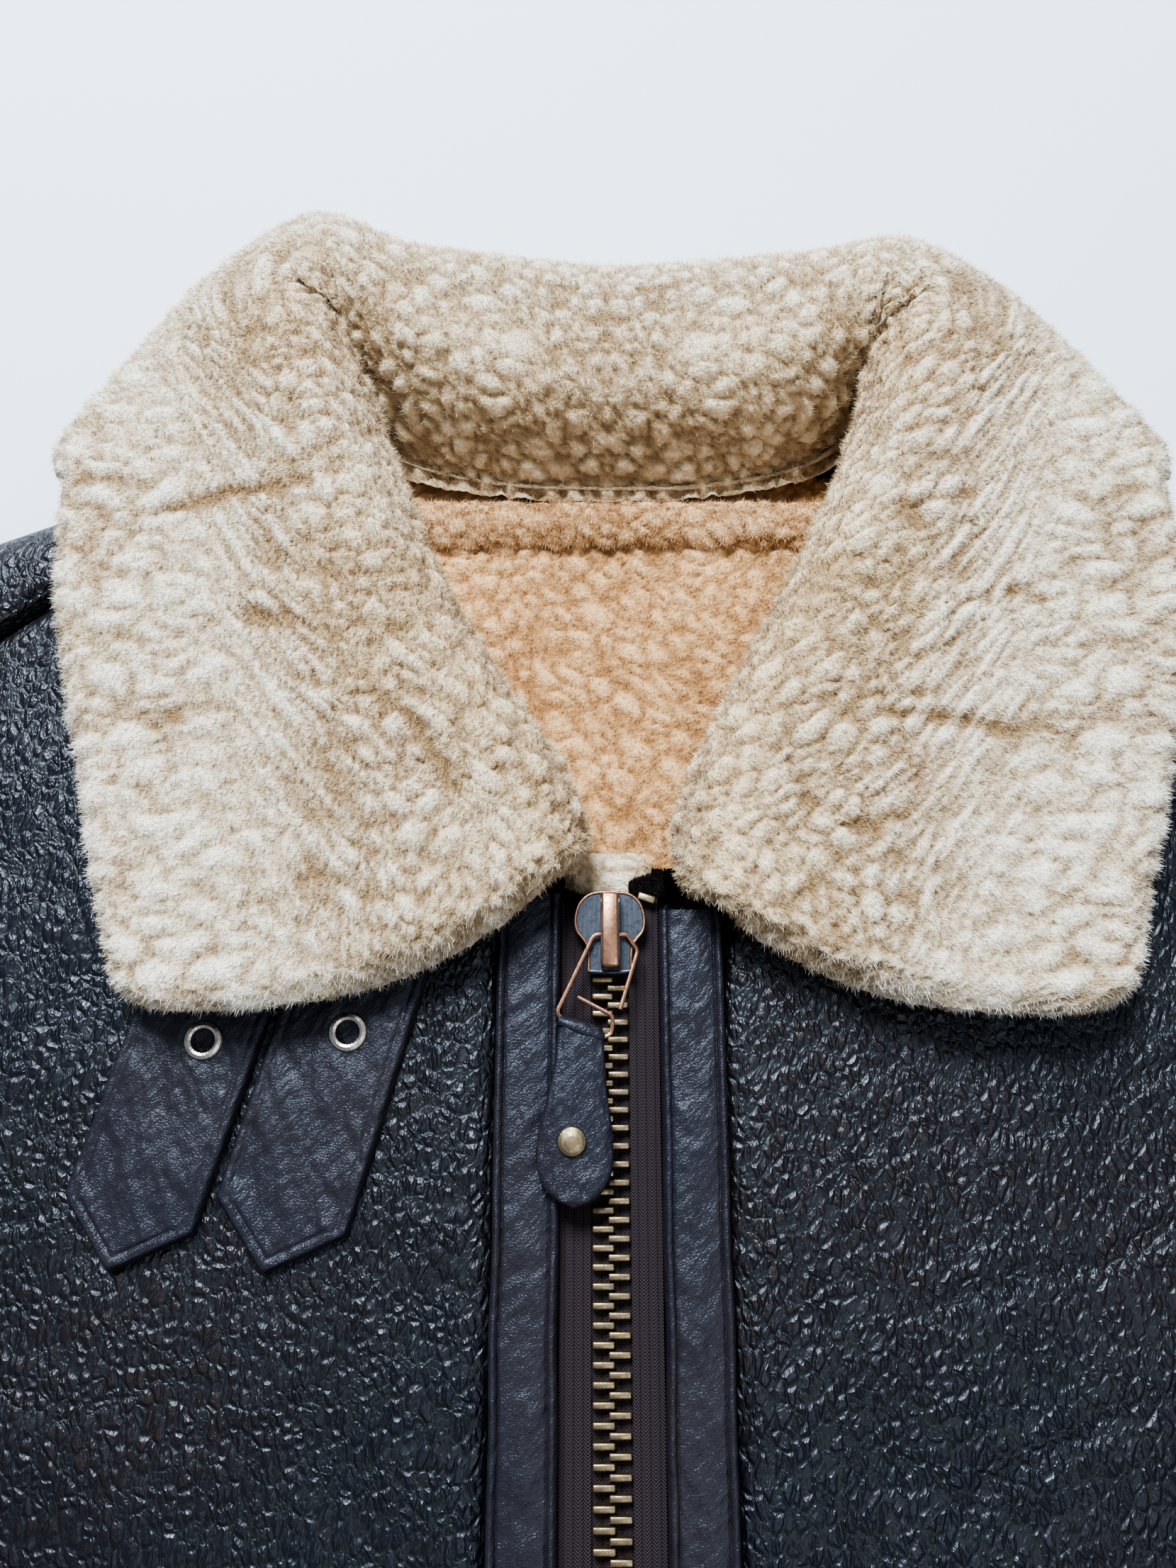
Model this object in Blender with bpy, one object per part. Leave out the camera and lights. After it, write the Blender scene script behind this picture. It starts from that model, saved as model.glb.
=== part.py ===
"""A sheepskin flying jacket laid flat on its back, front up and zipped to the neck.

Lengths are millimetres until place() turns a point into metres. X runs to the right as the jacket
is looked at, which is the wearer's left. Z is up, and the jacket rests on Z = 0. In the tables Y is
measured from the top of the zip towards the collar, and the panels of one side are drawn at
positive X and mirrored for the other.
"""

from math import cos, pi, radians, sin, tan

import bmesh
import bpy
import numpy as np
from mathutils import Matrix, Vector

MM = 0.001
ZIP_TOP = 171.0  # Y of the top of the zip from the middle of the jacket's length

# Lengths down the jacket from the top of the zip, and half widths.
HEM_Y = -532.0
HEM_HALF = 272.0
CHEST_HALF = 285.0
ARMPIT_Y = -180.0
SHOULDER = (245.0, 74.0)
SHOULDER_NECK = (95.0, 134.0)
ARMHOLE_HOLLOW = 32.0  # how far the armhole seam bends in from a straight line
YOKE_ON_ARMHOLE = 0.79  # where the shoulder panel's seam meets the armhole, armpit 0 to shoulder 1

# The two layers of shearling, wool to wool, and the gap kept between pieces.
GAP = 0.3
ARMHOLE_GAP = 1.0
BACK_HIGH = 13.0
FRONT_LOW = BACK_HIGH + GAP
FRONT_HIGH = 27.0
LIP = 1.5  # what is left of a wall where its rounded side ends
EDGE_STEPS = 3  # steps round a rounded side

# The collar: its wall, and the level of the part that lies folded under on the table.
COLLAR_HALF_WALL = 7.5
SEAM_HALF_WALL = 6.3
FOLD_SHARE = 0.42  # of the room between two parts of the folded collar that half its wall may take
FACES_ALIKE = 0.5  # parts of the collar whose normals agree more than this don't press on each other
TUCKED_Z = 8.0

# The zip. The strip beside it is a profile of (across, height), with a rolled welt on each edge.
STRIP_INNER = 12.5
STRIP_PROFILE = [(STRIP_INNER, 26.2), (13.0, 27.7), (13.8, 28.1), (14.7, 27.4),
                 (26.3, 27.4), (27.1, 28.0), (27.9, 27.6), (28.3, 26.6)]
TAPE_INNER, TAPE_LOW, TAPE_HIGH = 4.8, 22.4, 23.6
CHAIN_HALF, CHAIN_LOW, CHAIN_HIGH, CHAIN_TOP = 4.5, 21.0, 25.2, -9.0
FLAP_HALF, FLAP_TOP, FLAP_HIGH = 11.9, 14.0, 16.5

# The strip of shearling over the back neck seam, a profile of (y, height, half width).
NECK_STRIP_PROFILE = [(103.5, 13.8, 51), (105.5, 17.0, 52), (110.5, 18.6, 54), (115, 17.4, 56),
                      (117.6, 14.2, 57)]

# The slider's outline, its two plates and the bridge that holds the wire.
SLIDER_LENGTH = 20.0
PLATE_LOW, PLATE_HIGH = 25.7, 27.3
UNDER_LOW, UNDER_HIGH = 19.2, 20.6
BRIDGE_HALF, BRIDGE_HIGH, BRIDGE_ROOF = 2.25, 31.8, 30.2
BRIDGE_START, BRIDGE_END, BRIDGE_POST = -0.8, -19.2, 3.4
# Half of the slider's outline, (half width, Y), from the middle of its top down to its foot.
SLIDER_HALF = [(0, 0), (4.6, -0.4), (7.4, -2.6), (8.65, -6.2), (8.3, -9.6), (6.8, -11.6),
               (5.7, -13.4), (5.35, -16), (5.35, -SLIDER_LENGTH)]
DIVIDER = [(0, -1.0), (2.4, -3.0), (1.2, -8.0), (-1.2, -8.0), (-2.4, -3.0)]

# The wire pull, which turns in the bridge, and the leather tab on its lower bar.
WIRE_RADIUS = 0.55
WIRE_AXIS_Y, WIRE_AXIS_Z = -11.0, 28.75
BAR_LEFT, BAR_RIGHT, BAR_Z = (-13.5, -31.0), (0.0, -37.0), 30.5
TAB_LOW, TAB_HIGH = 28.6, 32.0
LOOP_RADIUS, LOOP_BORE, LOOP_LENGTH = 2.1, 0.95, 11.0
RIVET = (-9.3, -60.5)
RIVET_RADIUS, RIVET_SHANK, RIVET_DOME = 3.5, 1.4, 1.6

# The collar straps: thickness, half width, depth of the pointed end, and the eyelets.
STRAP_LOW, STRAP_HIGH = 27.5, 29.7
STRAP_HALF = 16.5
STRAP_POINT = 13.5
EYELET_OUTER, EYELET_BARREL, EYELET_HOLE = 4.75, 3.3, 2.7

# Front panel from hem to shoulder panel: the edge next to the zip or the collar, the outer edge, and
# how far the outer edge is rounded, 1 at the side seam and 0 at the armhole.
# Columns: inner_x, inner_y, outer_x, outer_y, rounded.
FRONT_LOWER_ROWS = [
    (28.6, HEM_Y, HEM_HALF, HEM_Y, 1),
    (28.6, -440, 277, -440, 1),
    (28.6, -345, 281, -345, 1),
    (28.6, -262, 284, -262, 1),
]
# The rows that end on the armhole: their places on it, and where each one starts on either side.
ARMHOLE_STEPS = [0.0, 0.13, 0.27, 0.41, 0.53, 0.62, 0.69, 0.745, YOKE_ON_ARMHOLE]
NECK_OF_RIGHT = [(28.6, -185), (28.6, -130), (28.6, -75), (28.6, -32), (32.0, -4),
                 (36.5, 14), (50, 42), (73, 80), (94, 121)]
NECK_OF_LEFT = [(28.6, -185), (28.6, -130), (28.6, -75), (28.6, -32), (28.6, -8),
                (29.0, 8), (46, 43), (69, 80), (94, 121)]
# Shoulder panel: its seam on the front and the shoulder line, each from the neck to the armhole end.
YOKE_SEAM = [(95.2, 121.6), (165.3, 75.0)]
SHOULDER_MIDDLE = (172.0, 103.0)

# Sleeve from armhole to cuff: the edge under the arm, the top edge, and how far the row bends
# towards the body.
# Columns: inner_x, inner_y, outer_x, outer_y, bend.
SLEEVE_ROWS = [
    (CHEST_HALF, ARMPIT_Y, *SHOULDER, ARMHOLE_HOLLOW),
    (304, -208, 292, 48, 17),
    (334, -250, 346, -2, 6),
    (372, -307, 417, -92, 0),
    (414, -366, 488, -192, 0),
    (463, -436, 559, -300, 0),
    (521, -522, 639, -430, 0),
]

# Back from hem to neck: the outer edge, the middle, and how far the row rises to the shoulder.
# Columns: outer_x, outer_y, middle_y, rise; in BACK_MIDDLES share on the armhole, middle_y, rise.
BACK_LOWER_ROWS = [
    (HEM_HALF, HEM_Y, HEM_Y, 0),
    (277, -440, -440, 0),
    (281, -345, -345, 0),
    (284, -262, -262, 0),
]
BACK_MIDDLES = [(0.0, -185, 0), (0.25, -110, 0), (0.5, -38, 5), (0.75, 40, 16), (1.0, 118, 33)]
NECK_SHARE = SHOULDER_NECK[0] / SHOULDER[0]  # of the half width, where the shoulder line starts

# Collar, from the front end to the middle of the back. seam is where it is sewn to the body, head
# the middle of its wall at the top of the roll, share how far from seam to head the wall turns up,
# out the outermost point, drop and tuck how far the wall goes down and back under there, and bow how
# far the line from head to out bends forwards.
# Columns: seam_x, seam_y, seam_z, head_x, head_y, top, share, out_x, out_y, out_z, drop, tuck, bow.
COLLAR_LEFT_ROWS = [
    (21, 9, 20.2, 10.5, 4.6, 45.5, 0.95, 119, -31, 38.0, 0, 0, 12),
    (27, 23, 20.2, 15.2, 24.9, 47, 1, 127, -8, 38.5, 0, 0, 7),
    (41, 44, 20.2, 29.4, 45.9, 50, 1, 137, 30, 40, 0, 0, 3),
    (62, 75, 20.2, 47.5, 76.5, 53, 1, 147, 70, 42, 0, 0, 0),
    (76, 104, 20.2, 60.5, 105, 55, 1, 150, 104, 41, 0, 0, 0),
    (84, 126, 20.2, 69.5, 132, 56, 0.9, 148, 128, 34, 0.4, 4, 0),
    (84, 139, 15, 74.5, 153, 56, 0.6, 136, 149, 33, 0.9, 18, 0),
    (79, 138, 9, 75, 165, 54, 0.5, 112, 170, 33, 1, 12, 0),
    (71, 134, 7.5, 71, 163, 50, 0.45, 86, 189, 32, 1, 14, 0),
    (56, 125, 7, 57, 147, 41, 0.35, 58, 186, 27, 1, 24, 0),
    (29, 120, 7, 29, 139, 35, 0.35, 29, 185.5, 25.6, 1, 31, 0),
    (0.15, 118.6, 7, 0.15, 137, 34, 0.35, 0.15, 184, 25.4, 1, 31, 0),
]
COLLAR_RIGHT_ROWS = [
    (33, 8, 20.2, 24.2, -4.0, 45.5, 0.5, 125, -32, 38.0, 0, 0, 10),
    (34.5, 17, 20.2, 22.9, 16.5, 47, 1, 131, -6, 38.5, 0, 0, 6),
    (45.5, 40, 20.2, 33.5, 41.3, 50, 1, 142, 32, 40, 0, 0, 3),
    (66, 76, 20.2, 51.5, 76.6, 53, 1, 152, 72, 42, 0, 0, 0),
    (80, 104, 20.2, 66.5, 105, 55, 1, 153, 103, 41, 0, 0, 0),
    (85, 126, 20.2, 75, 131, 56, 0.9, 147, 130, 34, 0.4, 4, 0),
    (85, 139, 15, 78, 152, 55, 0.6, 135, 150, 32, 0.9, 18, 0),
    (80, 138, 9, 77, 163, 52, 0.5, 114, 169, 31, 1, 12, 0),
    (72, 133, 7.5, 72, 159, 47, 0.45, 88, 183, 30, 1, 14, 0),
    (56, 125, 7, 57, 146, 39, 0.35, 60, 183.5, 26, 1, 23, 0),
    (29, 120, 7, 29, 138, 35, 0.35, 30, 184.5, 25.5, 1, 30, 0),
    (0.15, 118.6, 7, 0.15, 137, 34, 0.35, 0.15, 184, 25.4, 1, 31, 0),
]

# Strap: the tip, the lean of its axis from the Y axis in degrees, its length from the tip to its
# sewn end under the collar, and where the eyelet sits across and along it.
# Columns: name, tip_x, tip_y, lean, length, eyelet_across, eyelet_along.
STRAPS = [
    ("outer", -117.0, -89.5, 15.8, 92.0, 3.0, 55.4),
    ("inner", -81.0, -90.0, 15.3, 96.0, 1.9, 57.5),
]

# Soft folds of the leather: a line, how far it rises or, below 0, sinks, and its half width.
# Columns: x0, y0, x1, y1, rise, half_width.
FOLDS = [
    (70, -210, 175, -120, -1.6, 14),
    (60, -250, 190, -150, 1.6, 14),
    (120, -420, 245, -300, -1.8, 18),
    (90, -470, 230, -350, 1.6, 16),
    (250, -150, 205, -60, -2.4, 14),
    (305, -190, 330, -60, 2.4, 16),
    (340, -235, 372, -120, -2.8, 14),
    (372, -270, 430, -140, 2.6, 15),
    (395, -325, 452, -215, -3.0, 13),
    (425, -365, 500, -250, 2.4, 14),
    (455, -405, 512, -320, -2.4, 13),
    (510, -480, 590, -400, 1.8, 15),
]
MIRRORED_FOLDS = [
    (65, -190, 160, -140, -1.4, 14),
    (75, -300, 215, -215, 1.8, 17),
    (110, -380, 250, -330, -1.8, 16),
    (60, -480, 160, -400, 1.4, 16),
    (255, -140, 212, -50, -2.2, 14),
    (312, -200, 322, -80, 2.2, 15),
    (345, -240, 385, -130, -2.6, 15),
    (385, -290, 425, -180, 2.8, 14),
    (410, -340, 475, -240, -2.8, 14),
    (440, -385, 505, -290, 2.2, 13),
    (480, -430, 545, -350, -2.0, 14),
]

# Colour, roughness and metallic value of each material.
FINISHES = {
    "leather": ((0.012, 0.013, 0.020), 0.42, 0.0),
    "smooth_leather": ((0.014, 0.016, 0.028), 0.38, 0.0),
    "wool": ((0.74, 0.66, 0.52), 0.95, 0.0),
    "lining": ((0.72, 0.50, 0.32), 0.95, 0.0),
    "tape": ((0.035, 0.026, 0.030), 0.85, 0.0),
    "brass": ((0.42, 0.31, 0.17), 0.36, 1.0),
    "gunmetal": ((0.12, 0.13, 0.15), 0.35, 1.0),
    "copper": ((0.50, 0.25, 0.14), 0.30, 1.0),
    "nickel": ((0.62, 0.58, 0.52), 0.25, 1.0),
}


def place(x, y, z):
    """The point in metres about the middle of the jacket."""
    return Vector((x, y + ZIP_TOP, z)) * MM


def finish_of(name):
    material = bpy.data.materials.get(name)
    if material is None:
        colour, roughness, metallic = FINISHES[name]
        material = bpy.data.materials.new(name)
        material.use_nodes = True
        shader = material.node_tree.nodes["Principled BSDF"]
        shader.inputs["Base Color"].default_value = (*colour, 1)
        shader.inputs["Roughness"].default_value = roughness
        shader.inputs["Metallic"].default_value = metallic
    return material


def to_object(mesh, name, finish):
    """The bmesh as a named object with its own material, faces outwards."""
    bmesh.ops.recalc_face_normals(mesh, faces=mesh.faces[:])
    if mesh.calc_volume(signed=True) < 0:
        bmesh.ops.reverse_faces(mesh, faces=mesh.faces[:])
    data = bpy.data.meshes.new(name)
    mesh.to_mesh(data)
    mesh.free()
    data.materials.append(finish_of(finish).copy())
    made = bpy.data.objects.new(name, data)
    bpy.context.scene.collection.objects.link(made)
    return made


def smooth_rows(rows, steps):
    """The rows of a table with more worked out between them, on a smooth curve through them."""
    rows = np.array(rows, float)
    ends = np.vstack([2 * rows[0] - rows[1], rows, 2 * rows[-1] - rows[-2]])
    made = []
    for a, b, c, d in zip(ends, ends[1:], ends[2:], ends[3:]):
        for t in np.arange(steps) / steps:
            curve = 2 * b + (c - a) * t + (2 * a - 5 * b + 4 * c - d) * t**2
            made.append(0.5 * (curve + (3 * b - a - 3 * c + d) * t**3))
    made.append(rows[-1])
    return np.array(made)


def armhole(share):
    """The armhole seam from the armpit, share 0, to the shoulder, share 1."""
    x = CHEST_HALF + (SHOULDER[0] - CHEST_HALF) * share - 4 * ARMHOLE_HOLLOW * share * (1 - share)
    return x, ARMPIT_Y + (SHOULDER[1] - ARMPIT_Y) * share


def folds_at(x, y, folds):
    """How far the soft folds raise the leather at a point."""
    raised = 0.0
    for x0, y0, x1, y1, rise, half_width in folds:
        along = Vector((x1 - x0, y1 - y0))
        share = (Vector((x, y)) - Vector((x0, y0))).dot(along) / along.length_squared
        nearest = Vector((x0, y0)) + along * min(max(share, 0), 1)
        raised += rise * 2.718 ** (-((Vector((x, y)) - nearest).length / half_width) ** 2)
    return raised


def walled_grid(columns, rows, point):
    """A closed wall: a grid extruded into two skins. point(column, row, skin) places each corner."""
    mesh = bmesh.new()
    bmesh.ops.create_grid(mesh, x_segments=columns - 1, y_segments=rows - 1, size=0.5)
    made = bmesh.ops.extrude_face_region(mesh, geom=mesh.faces[:])["geom"]
    second = {item for item in made if isinstance(item, bmesh.types.BMVert)}
    for vertex in mesh.verts:
        column = round((vertex.co.x + 0.5) * (columns - 1))
        row = round((vertex.co.y + 0.5) * (rows - 1))
        vertex.co = place(*point(column, row, int(vertex in second)))
    return mesh


def edge_column(column, flat, rounding, width):
    """Place across a panel, 0 to 1, of a column, and the height there as a share of the wall."""
    if column < flat:
        return column / flat * (1 - rounding / width), 1.0
    angle = (column - flat) / EDGE_STEPS * pi / 2
    return 1 - rounding * (1 - sin(angle)) / width, cos(angle)


def make_front(side, neck, folds):
    """The front panel of one side, side 1 on the right and -1 on the left."""
    upper = []
    for share, (x, y) in zip(ARMHOLE_STEPS, neck):
        edge_x, edge_y = armhole(share)
        upper.append((x, y, edge_x - GAP, edge_y, 1 if share == 0 else 0))
    rows = np.vstack([smooth_rows(FRONT_LOWER_ROWS + upper[:1], 2), upper[1:]])
    flat = 9
    rounding = FRONT_HIGH - FRONT_LOW

    def point(column, row, skin):
        inner_x, inner_y, outer_x, outer_y, rounded = rows[row]
        across, height = edge_column(column, flat, rounding, outer_x - inner_x)
        x = inner_x + (outer_x - inner_x) * across
        y = inner_y + (outer_y - inner_y) * across
        if skin:
            return side * x, y, FRONT_LOW
        top = FRONT_LOW + LIP + (rounding - LIP) * (1 - rounded * (1 - height))
        return side * x, y, top + folds_at(x, y, folds) * height

    return walled_grid(flat + EDGE_STEPS + 1, len(rows), point)


def make_yoke(side):
    """The shoulder panel, from its seam on the front to the shoulder line."""
    seam_x, seam_y = armhole(YOKE_ON_ARMHOLE)
    seam = YOKE_SEAM + [(seam_x - ARMHOLE_GAP, seam_y + 2 * GAP)]
    shoulder = [SHOULDER_NECK, SHOULDER_MIDDLE, (SHOULDER[0] - ARMHOLE_GAP, SHOULDER[1])]
    rows = smooth_rows([(*a, *b) for a, b in zip(seam, shoulder)], 4)
    flat = 3
    rounding = FRONT_HIGH - FRONT_LOW

    def point(column, row, skin):
        start, end = Vector(rows[row][:2]), Vector(rows[row][2:])
        width = (end - start).length
        across, height = edge_column(column, flat, min(rounding, 0.7 * width), width)
        spot = start.lerp(end, across)
        if skin:
            return side * spot.x, spot.y, FRONT_LOW
        return side * spot.x, spot.y, FRONT_LOW + LIP + (rounding - LIP) * height

    return walled_grid(flat + EDGE_STEPS + 1, len(rows), point)


def make_sleeve(side, low, high, folds):
    """One layer of a sleeve. Both long edges are rounded on the side away from the other layer."""
    steps = 3 if folds else 2
    rows = smooth_rows(SLEEVE_ROWS, steps)
    flat = 8
    columns = flat + 2 * EDGE_STEPS + 1
    rounding = high - low

    def point(column, row, skin):
        inner_x, inner_y, outer_x, outer_y, bend = rows[row]
        inner, outer = Vector((inner_x, inner_y)), Vector((outer_x, outer_y))
        width = (outer - inner).length
        share = rounding / width
        if column < EDGE_STEPS:
            angle = (EDGE_STEPS - column) / EDGE_STEPS * pi / 2
            across, height = share * (1 - sin(angle)), cos(angle)
        elif column > EDGE_STEPS + flat:
            angle = (column - EDGE_STEPS - flat) / EDGE_STEPS * pi / 2
            across, height = 1 - share * (1 - sin(angle)), cos(angle)
        else:
            across, height = share + (column - EDGE_STEPS) / flat * (1 - 2 * share), 1.0
        spot = inner.lerp(outer, across)
        spot.x += ARMHOLE_GAP - 4 * bend * across * (1 - across)
        wall = LIP + (rounding - LIP) * height
        if folds:
            z = low if skin else low + wall + folds_at(*spot, folds) * height
        else:
            z = high if skin else high - wall
        return side * spot.x, spot.y, z

    return walled_grid(columns, len(rows), point)


def make_back():
    """The back panel, wool up, with its neck edge and shoulders."""
    upper = []
    for share, middle_y, rise in BACK_MIDDLES:
        edge_x, edge_y = armhole(share)
        upper.append((edge_x - GAP, edge_y, middle_y, rise))
    rows = np.vstack([smooth_rows(BACK_LOWER_ROWS + upper[:1], 2), smooth_rows(upper, 2)[1:]])
    shares = [-1, -0.8, -0.6, -NECK_SHARE, -0.3, -0.22, -0.1]
    shares = shares + [0] + [-share for share in reversed(shares)]

    def point(column, row, skin):
        outer_x, outer_y, middle_y, rise = rows[row]
        share = abs(shares[column])
        if share > NECK_SHARE:
            bump = (1 - share) / (1 - NECK_SHARE)
        else:
            up = min(max((share - 0.2) / (NECK_SHARE - 0.2), 0), 1)
            bump = up * up * (3 - 2 * up)
        y = middle_y + (outer_y - middle_y) * share + rise * bump
        return outer_x * shares[column], y, 0.0 if skin else BACK_HIGH

    return walled_grid(len(shares), len(rows), point)


def rounded_path(corners, radius, steps=6):
    """A polyline through the corners with each corner turned into an arc."""
    path = [corners[0]]
    for before, corner, after in zip(corners, corners[1:], corners[2:]):
        back, on = before - corner, after - corner
        turn = pi - back.angle(on, pi)
        if turn < 0.02:
            path.append(corner)
            continue
        cut = min(radius * tan(turn / 2), 0.49 * min(back.length, on.length))
        middle = back.normalized() + on.normalized()
        centre = corner + middle.normalized() * cut / tan(turn / 2) / cos(turn / 2)
        start = corner + back.normalized() * cut - centre
        end = corner + on.normalized() * cut - centre
        arc = [start.slerp(end, step / steps) * start.length for step in range(steps + 1)]
        path += [centre + spoke for spoke in arc]
    path.append(corners[-1])
    return path


def evenly(path, count):
    """count points spaced evenly along a path."""
    points = np.array([tuple(point) for point in path])
    run = np.concatenate([[0], np.cumsum(np.linalg.norm(np.diff(points, axis=0), axis=1))])
    at = np.linspace(0, run[-1], count)
    return np.stack([np.interp(at, run, points[:, axis]) for axis in range(3)], axis=1)


def collar_section(row, count):
    """Points along the middle of the collar's wall, from its seam to its free edge."""
    seam_x, seam_y, seam_z, head_x, head_y, top, share, out_x, out_y, out_z, drop, tuck, bow = row
    seam, head = Vector((seam_x, seam_y)), Vector((head_x, head_y))
    way = (Vector((out_x, out_y)) - head).normalized()
    inset = COLLAR_HALF_WALL * min(max(2 * drop, 0), 1)  # where the wall turns down
    edge = Vector((out_x, out_y)) - way * inset
    foot = seam.lerp(head, share)
    under_z = out_z + (TUCKED_Z - out_z) * max(drop, 0)
    corners = [
        Vector((*seam, seam_z)),
        Vector((*foot, seam_z)),
        Vector((*head, top - COLLAR_HALF_WALL)),
        Vector((*edge, out_z)),
    ]
    if drop > 0.05:
        corners.append(Vector((*edge, under_z)))
    if tuck > 0.5:
        corners.append(Vector((*(edge - way * tuck), under_z)))
    points = evenly(rounded_path(corners, 16), count)
    reach = (edge - head).length
    along = np.clip(((points[:, :2] - np.array(head)) @ np.array(way)) / reach, 0, 1)
    points[:, 0] += way.y * bow * 4 * along * (1 - along)
    points[:, 1] -= way.x * bow * 4 * along * (1 - along)
    return points


def room_to_itself(middle, normals):
    """How near each point of a folded surface comes to a part of it that faces another way."""
    spots, ways = middle.reshape(-1, 3), normals.reshape(-1, 3)
    apart = np.linalg.norm(spots[:, None] - spots[None], axis=2)
    apart[ways @ ways.T > FACES_ALIKE] = np.inf
    return apart.min(axis=1).reshape(middle.shape[:2])


def make_collar(side, table):
    """Half of the collar: the stand, the roll and the fall in one wall, wool outside."""
    count = 25
    rows = smooth_rows(table, 2)
    middle = np.array([collar_section(row, count) for row in rows])
    normals = np.cross(np.gradient(middle, axis=1), np.gradient(middle, axis=0))
    normals /= np.linalg.norm(normals, axis=2, keepdims=True)
    half = np.full(middle.shape[:2], COLLAR_HALF_WALL)
    half[:, 0] = SEAM_HALF_WALL
    half[:, 1] = SEAM_HALF_WALL
    half[:, 2] = 0.5 * (SEAM_HALF_WALL + COLLAR_HALF_WALL)
    half[:, -2] *= 0.93
    half[:, -1] *= 0.6
    half[0] *= 0.7
    half[1] *= 0.95
    half = np.minimum(half, FOLD_SHARE * room_to_itself(middle, normals))

    def point(column, row, skin):
        spot = middle[row, column] + normals[row, column] * half[row, column] * (1 - 2 * skin)
        return side * max(spot[0], GAP / 2), spot[1], max(spot[2], 0.0)

    return walled_grid(count, len(rows), point)


def make_box(low, high):
    """A plain block between two corners."""
    mesh = bmesh.new()
    bmesh.ops.create_cube(mesh, size=1)
    for vertex in mesh.verts:
        share = [c + 0.5 for c in vertex.co]
        vertex.co = place(*[a + (b - a) * s for a, b, s in zip(low, high, share)])
    return mesh


def make_strip(side, top):
    """The smooth leather strip beside the zip, with a rolled welt along each edge."""
    stations = np.linspace(HEM_Y, top, 9)

    def point(column, row, skin):
        across, height = STRIP_PROFILE[column]
        return side * across, stations[row], FRONT_LOW + GAP if skin else height

    return walled_grid(len(STRIP_PROFILE), len(stations), point)


def make_neck_strip():
    """The strip of shearling that covers the back neck seam from inside."""
    across = np.linspace(-1, 1, 9)

    def point(column, row, skin):
        y, height, half = NECK_STRIP_PROFILE[row]
        return across[column] * half, y, BACK_HIGH + GAP if skin else height

    return walled_grid(len(across), len(NECK_STRIP_PROFILE), point)


def outline_mesh(outline, low, high):
    """A flat outline of (x, y) points as a plate from low to high."""
    mesh = bmesh.new()
    ring = [mesh.verts.new(place(x, y, low)) for x, y in outline]
    face = mesh.faces.new(ring)
    made = bmesh.ops.extrude_face_region(mesh, geom=[face])["geom"]
    raised = [item for item in made if isinstance(item, bmesh.types.BMVert)]
    bmesh.ops.translate(mesh, verts=raised, vec=(0, 0, (high - low) * MM))
    return mesh


def make_disc(profile, centre):
    """A turned piece: (radius, z) points spun about an upright axis through centre."""
    mesh = bmesh.new()
    ring = [mesh.verts.new(place(centre[0] + radius, centre[1], z)) for radius, z in profile]
    edges = [mesh.edges.new((a, b)) for a, b in zip(ring, ring[1:])]
    if profile[0][0] > 0:
        edges.append(mesh.edges.new((ring[-1], ring[0])))
    bmesh.ops.spin(mesh, geom=ring + edges, cent=place(*centre, 0), axis=(0, 0, 1),
                   angle=2 * pi, steps=24, use_merge=True)
    bmesh.ops.remove_doubles(mesh, verts=mesh.verts[:], dist=1e-6)
    return mesh


def combine(target, other, operation):
    """Joins to target, or cuts from it, another object, which leaves the scene's output."""
    other.hide_render = True
    other.display_type = "WIRE"
    step = target.modifiers.new(operation.lower(), "BOOLEAN")
    step.operation = operation
    step.object = other
    step.solver = "EXACT"


def slider_outline(grow=0.0):
    """The slider's plate: two round shoulders at the top, a waist and a square foot."""
    right = [(x + grow, y) for x, y in SLIDER_HALF[1:]]
    return [SLIDER_HALF[0]] + right + [(-x, y) for x, y in reversed(right)]


def make_slider():
    """Two plates joined by the divider at the top, with the bridge on the upper one."""
    body = to_object(outline_mesh(slider_outline(), PLATE_LOW, PLATE_HIGH), "zip_slider", "gunmetal")
    under = to_object(outline_mesh(slider_outline(-0.3), UNDER_LOW, UNDER_HIGH), "slider_under", "gunmetal")
    divider = outline_mesh(DIVIDER, UNDER_HIGH - 0.5, PLATE_LOW + 0.5)
    profile = [(BRIDGE_START, PLATE_HIGH - 0.5), (BRIDGE_START, BRIDGE_HIGH - 1.8),
               (BRIDGE_START - 0.9, BRIDGE_HIGH - 0.5), (BRIDGE_START - 2.4, BRIDGE_HIGH),
               (BRIDGE_END + 2.4, BRIDGE_HIGH), (BRIDGE_END + 0.9, BRIDGE_HIGH - 0.5),
               (BRIDGE_END, BRIDGE_HIGH - 1.8), (BRIDGE_END, PLATE_HIGH - 0.5),
               (BRIDGE_END + BRIDGE_POST, PLATE_HIGH - 0.5), (BRIDGE_END + BRIDGE_POST, BRIDGE_ROOF),
               (BRIDGE_START - BRIDGE_POST, BRIDGE_ROOF), (BRIDGE_START - BRIDGE_POST, PLATE_HIGH - 0.5)]
    bridge = bmesh.new()
    ring = [bridge.verts.new(place(-BRIDGE_HALF, y, z)) for y, z in profile]
    made = bmesh.ops.extrude_face_region(bridge, geom=[bridge.faces.new(ring)])["geom"]
    moved = [item for item in made if isinstance(item, bmesh.types.BMVert)]
    bmesh.ops.translate(bridge, verts=moved, vec=(2 * BRIDGE_HALF * MM, 0, 0))
    combine(body, to_object(divider, "slider_divider", "gunmetal"), "UNION")
    combine(body, under, "UNION")
    combine(body, to_object(bridge, "slider_bridge", "copper"), "UNION")
    return body


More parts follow.
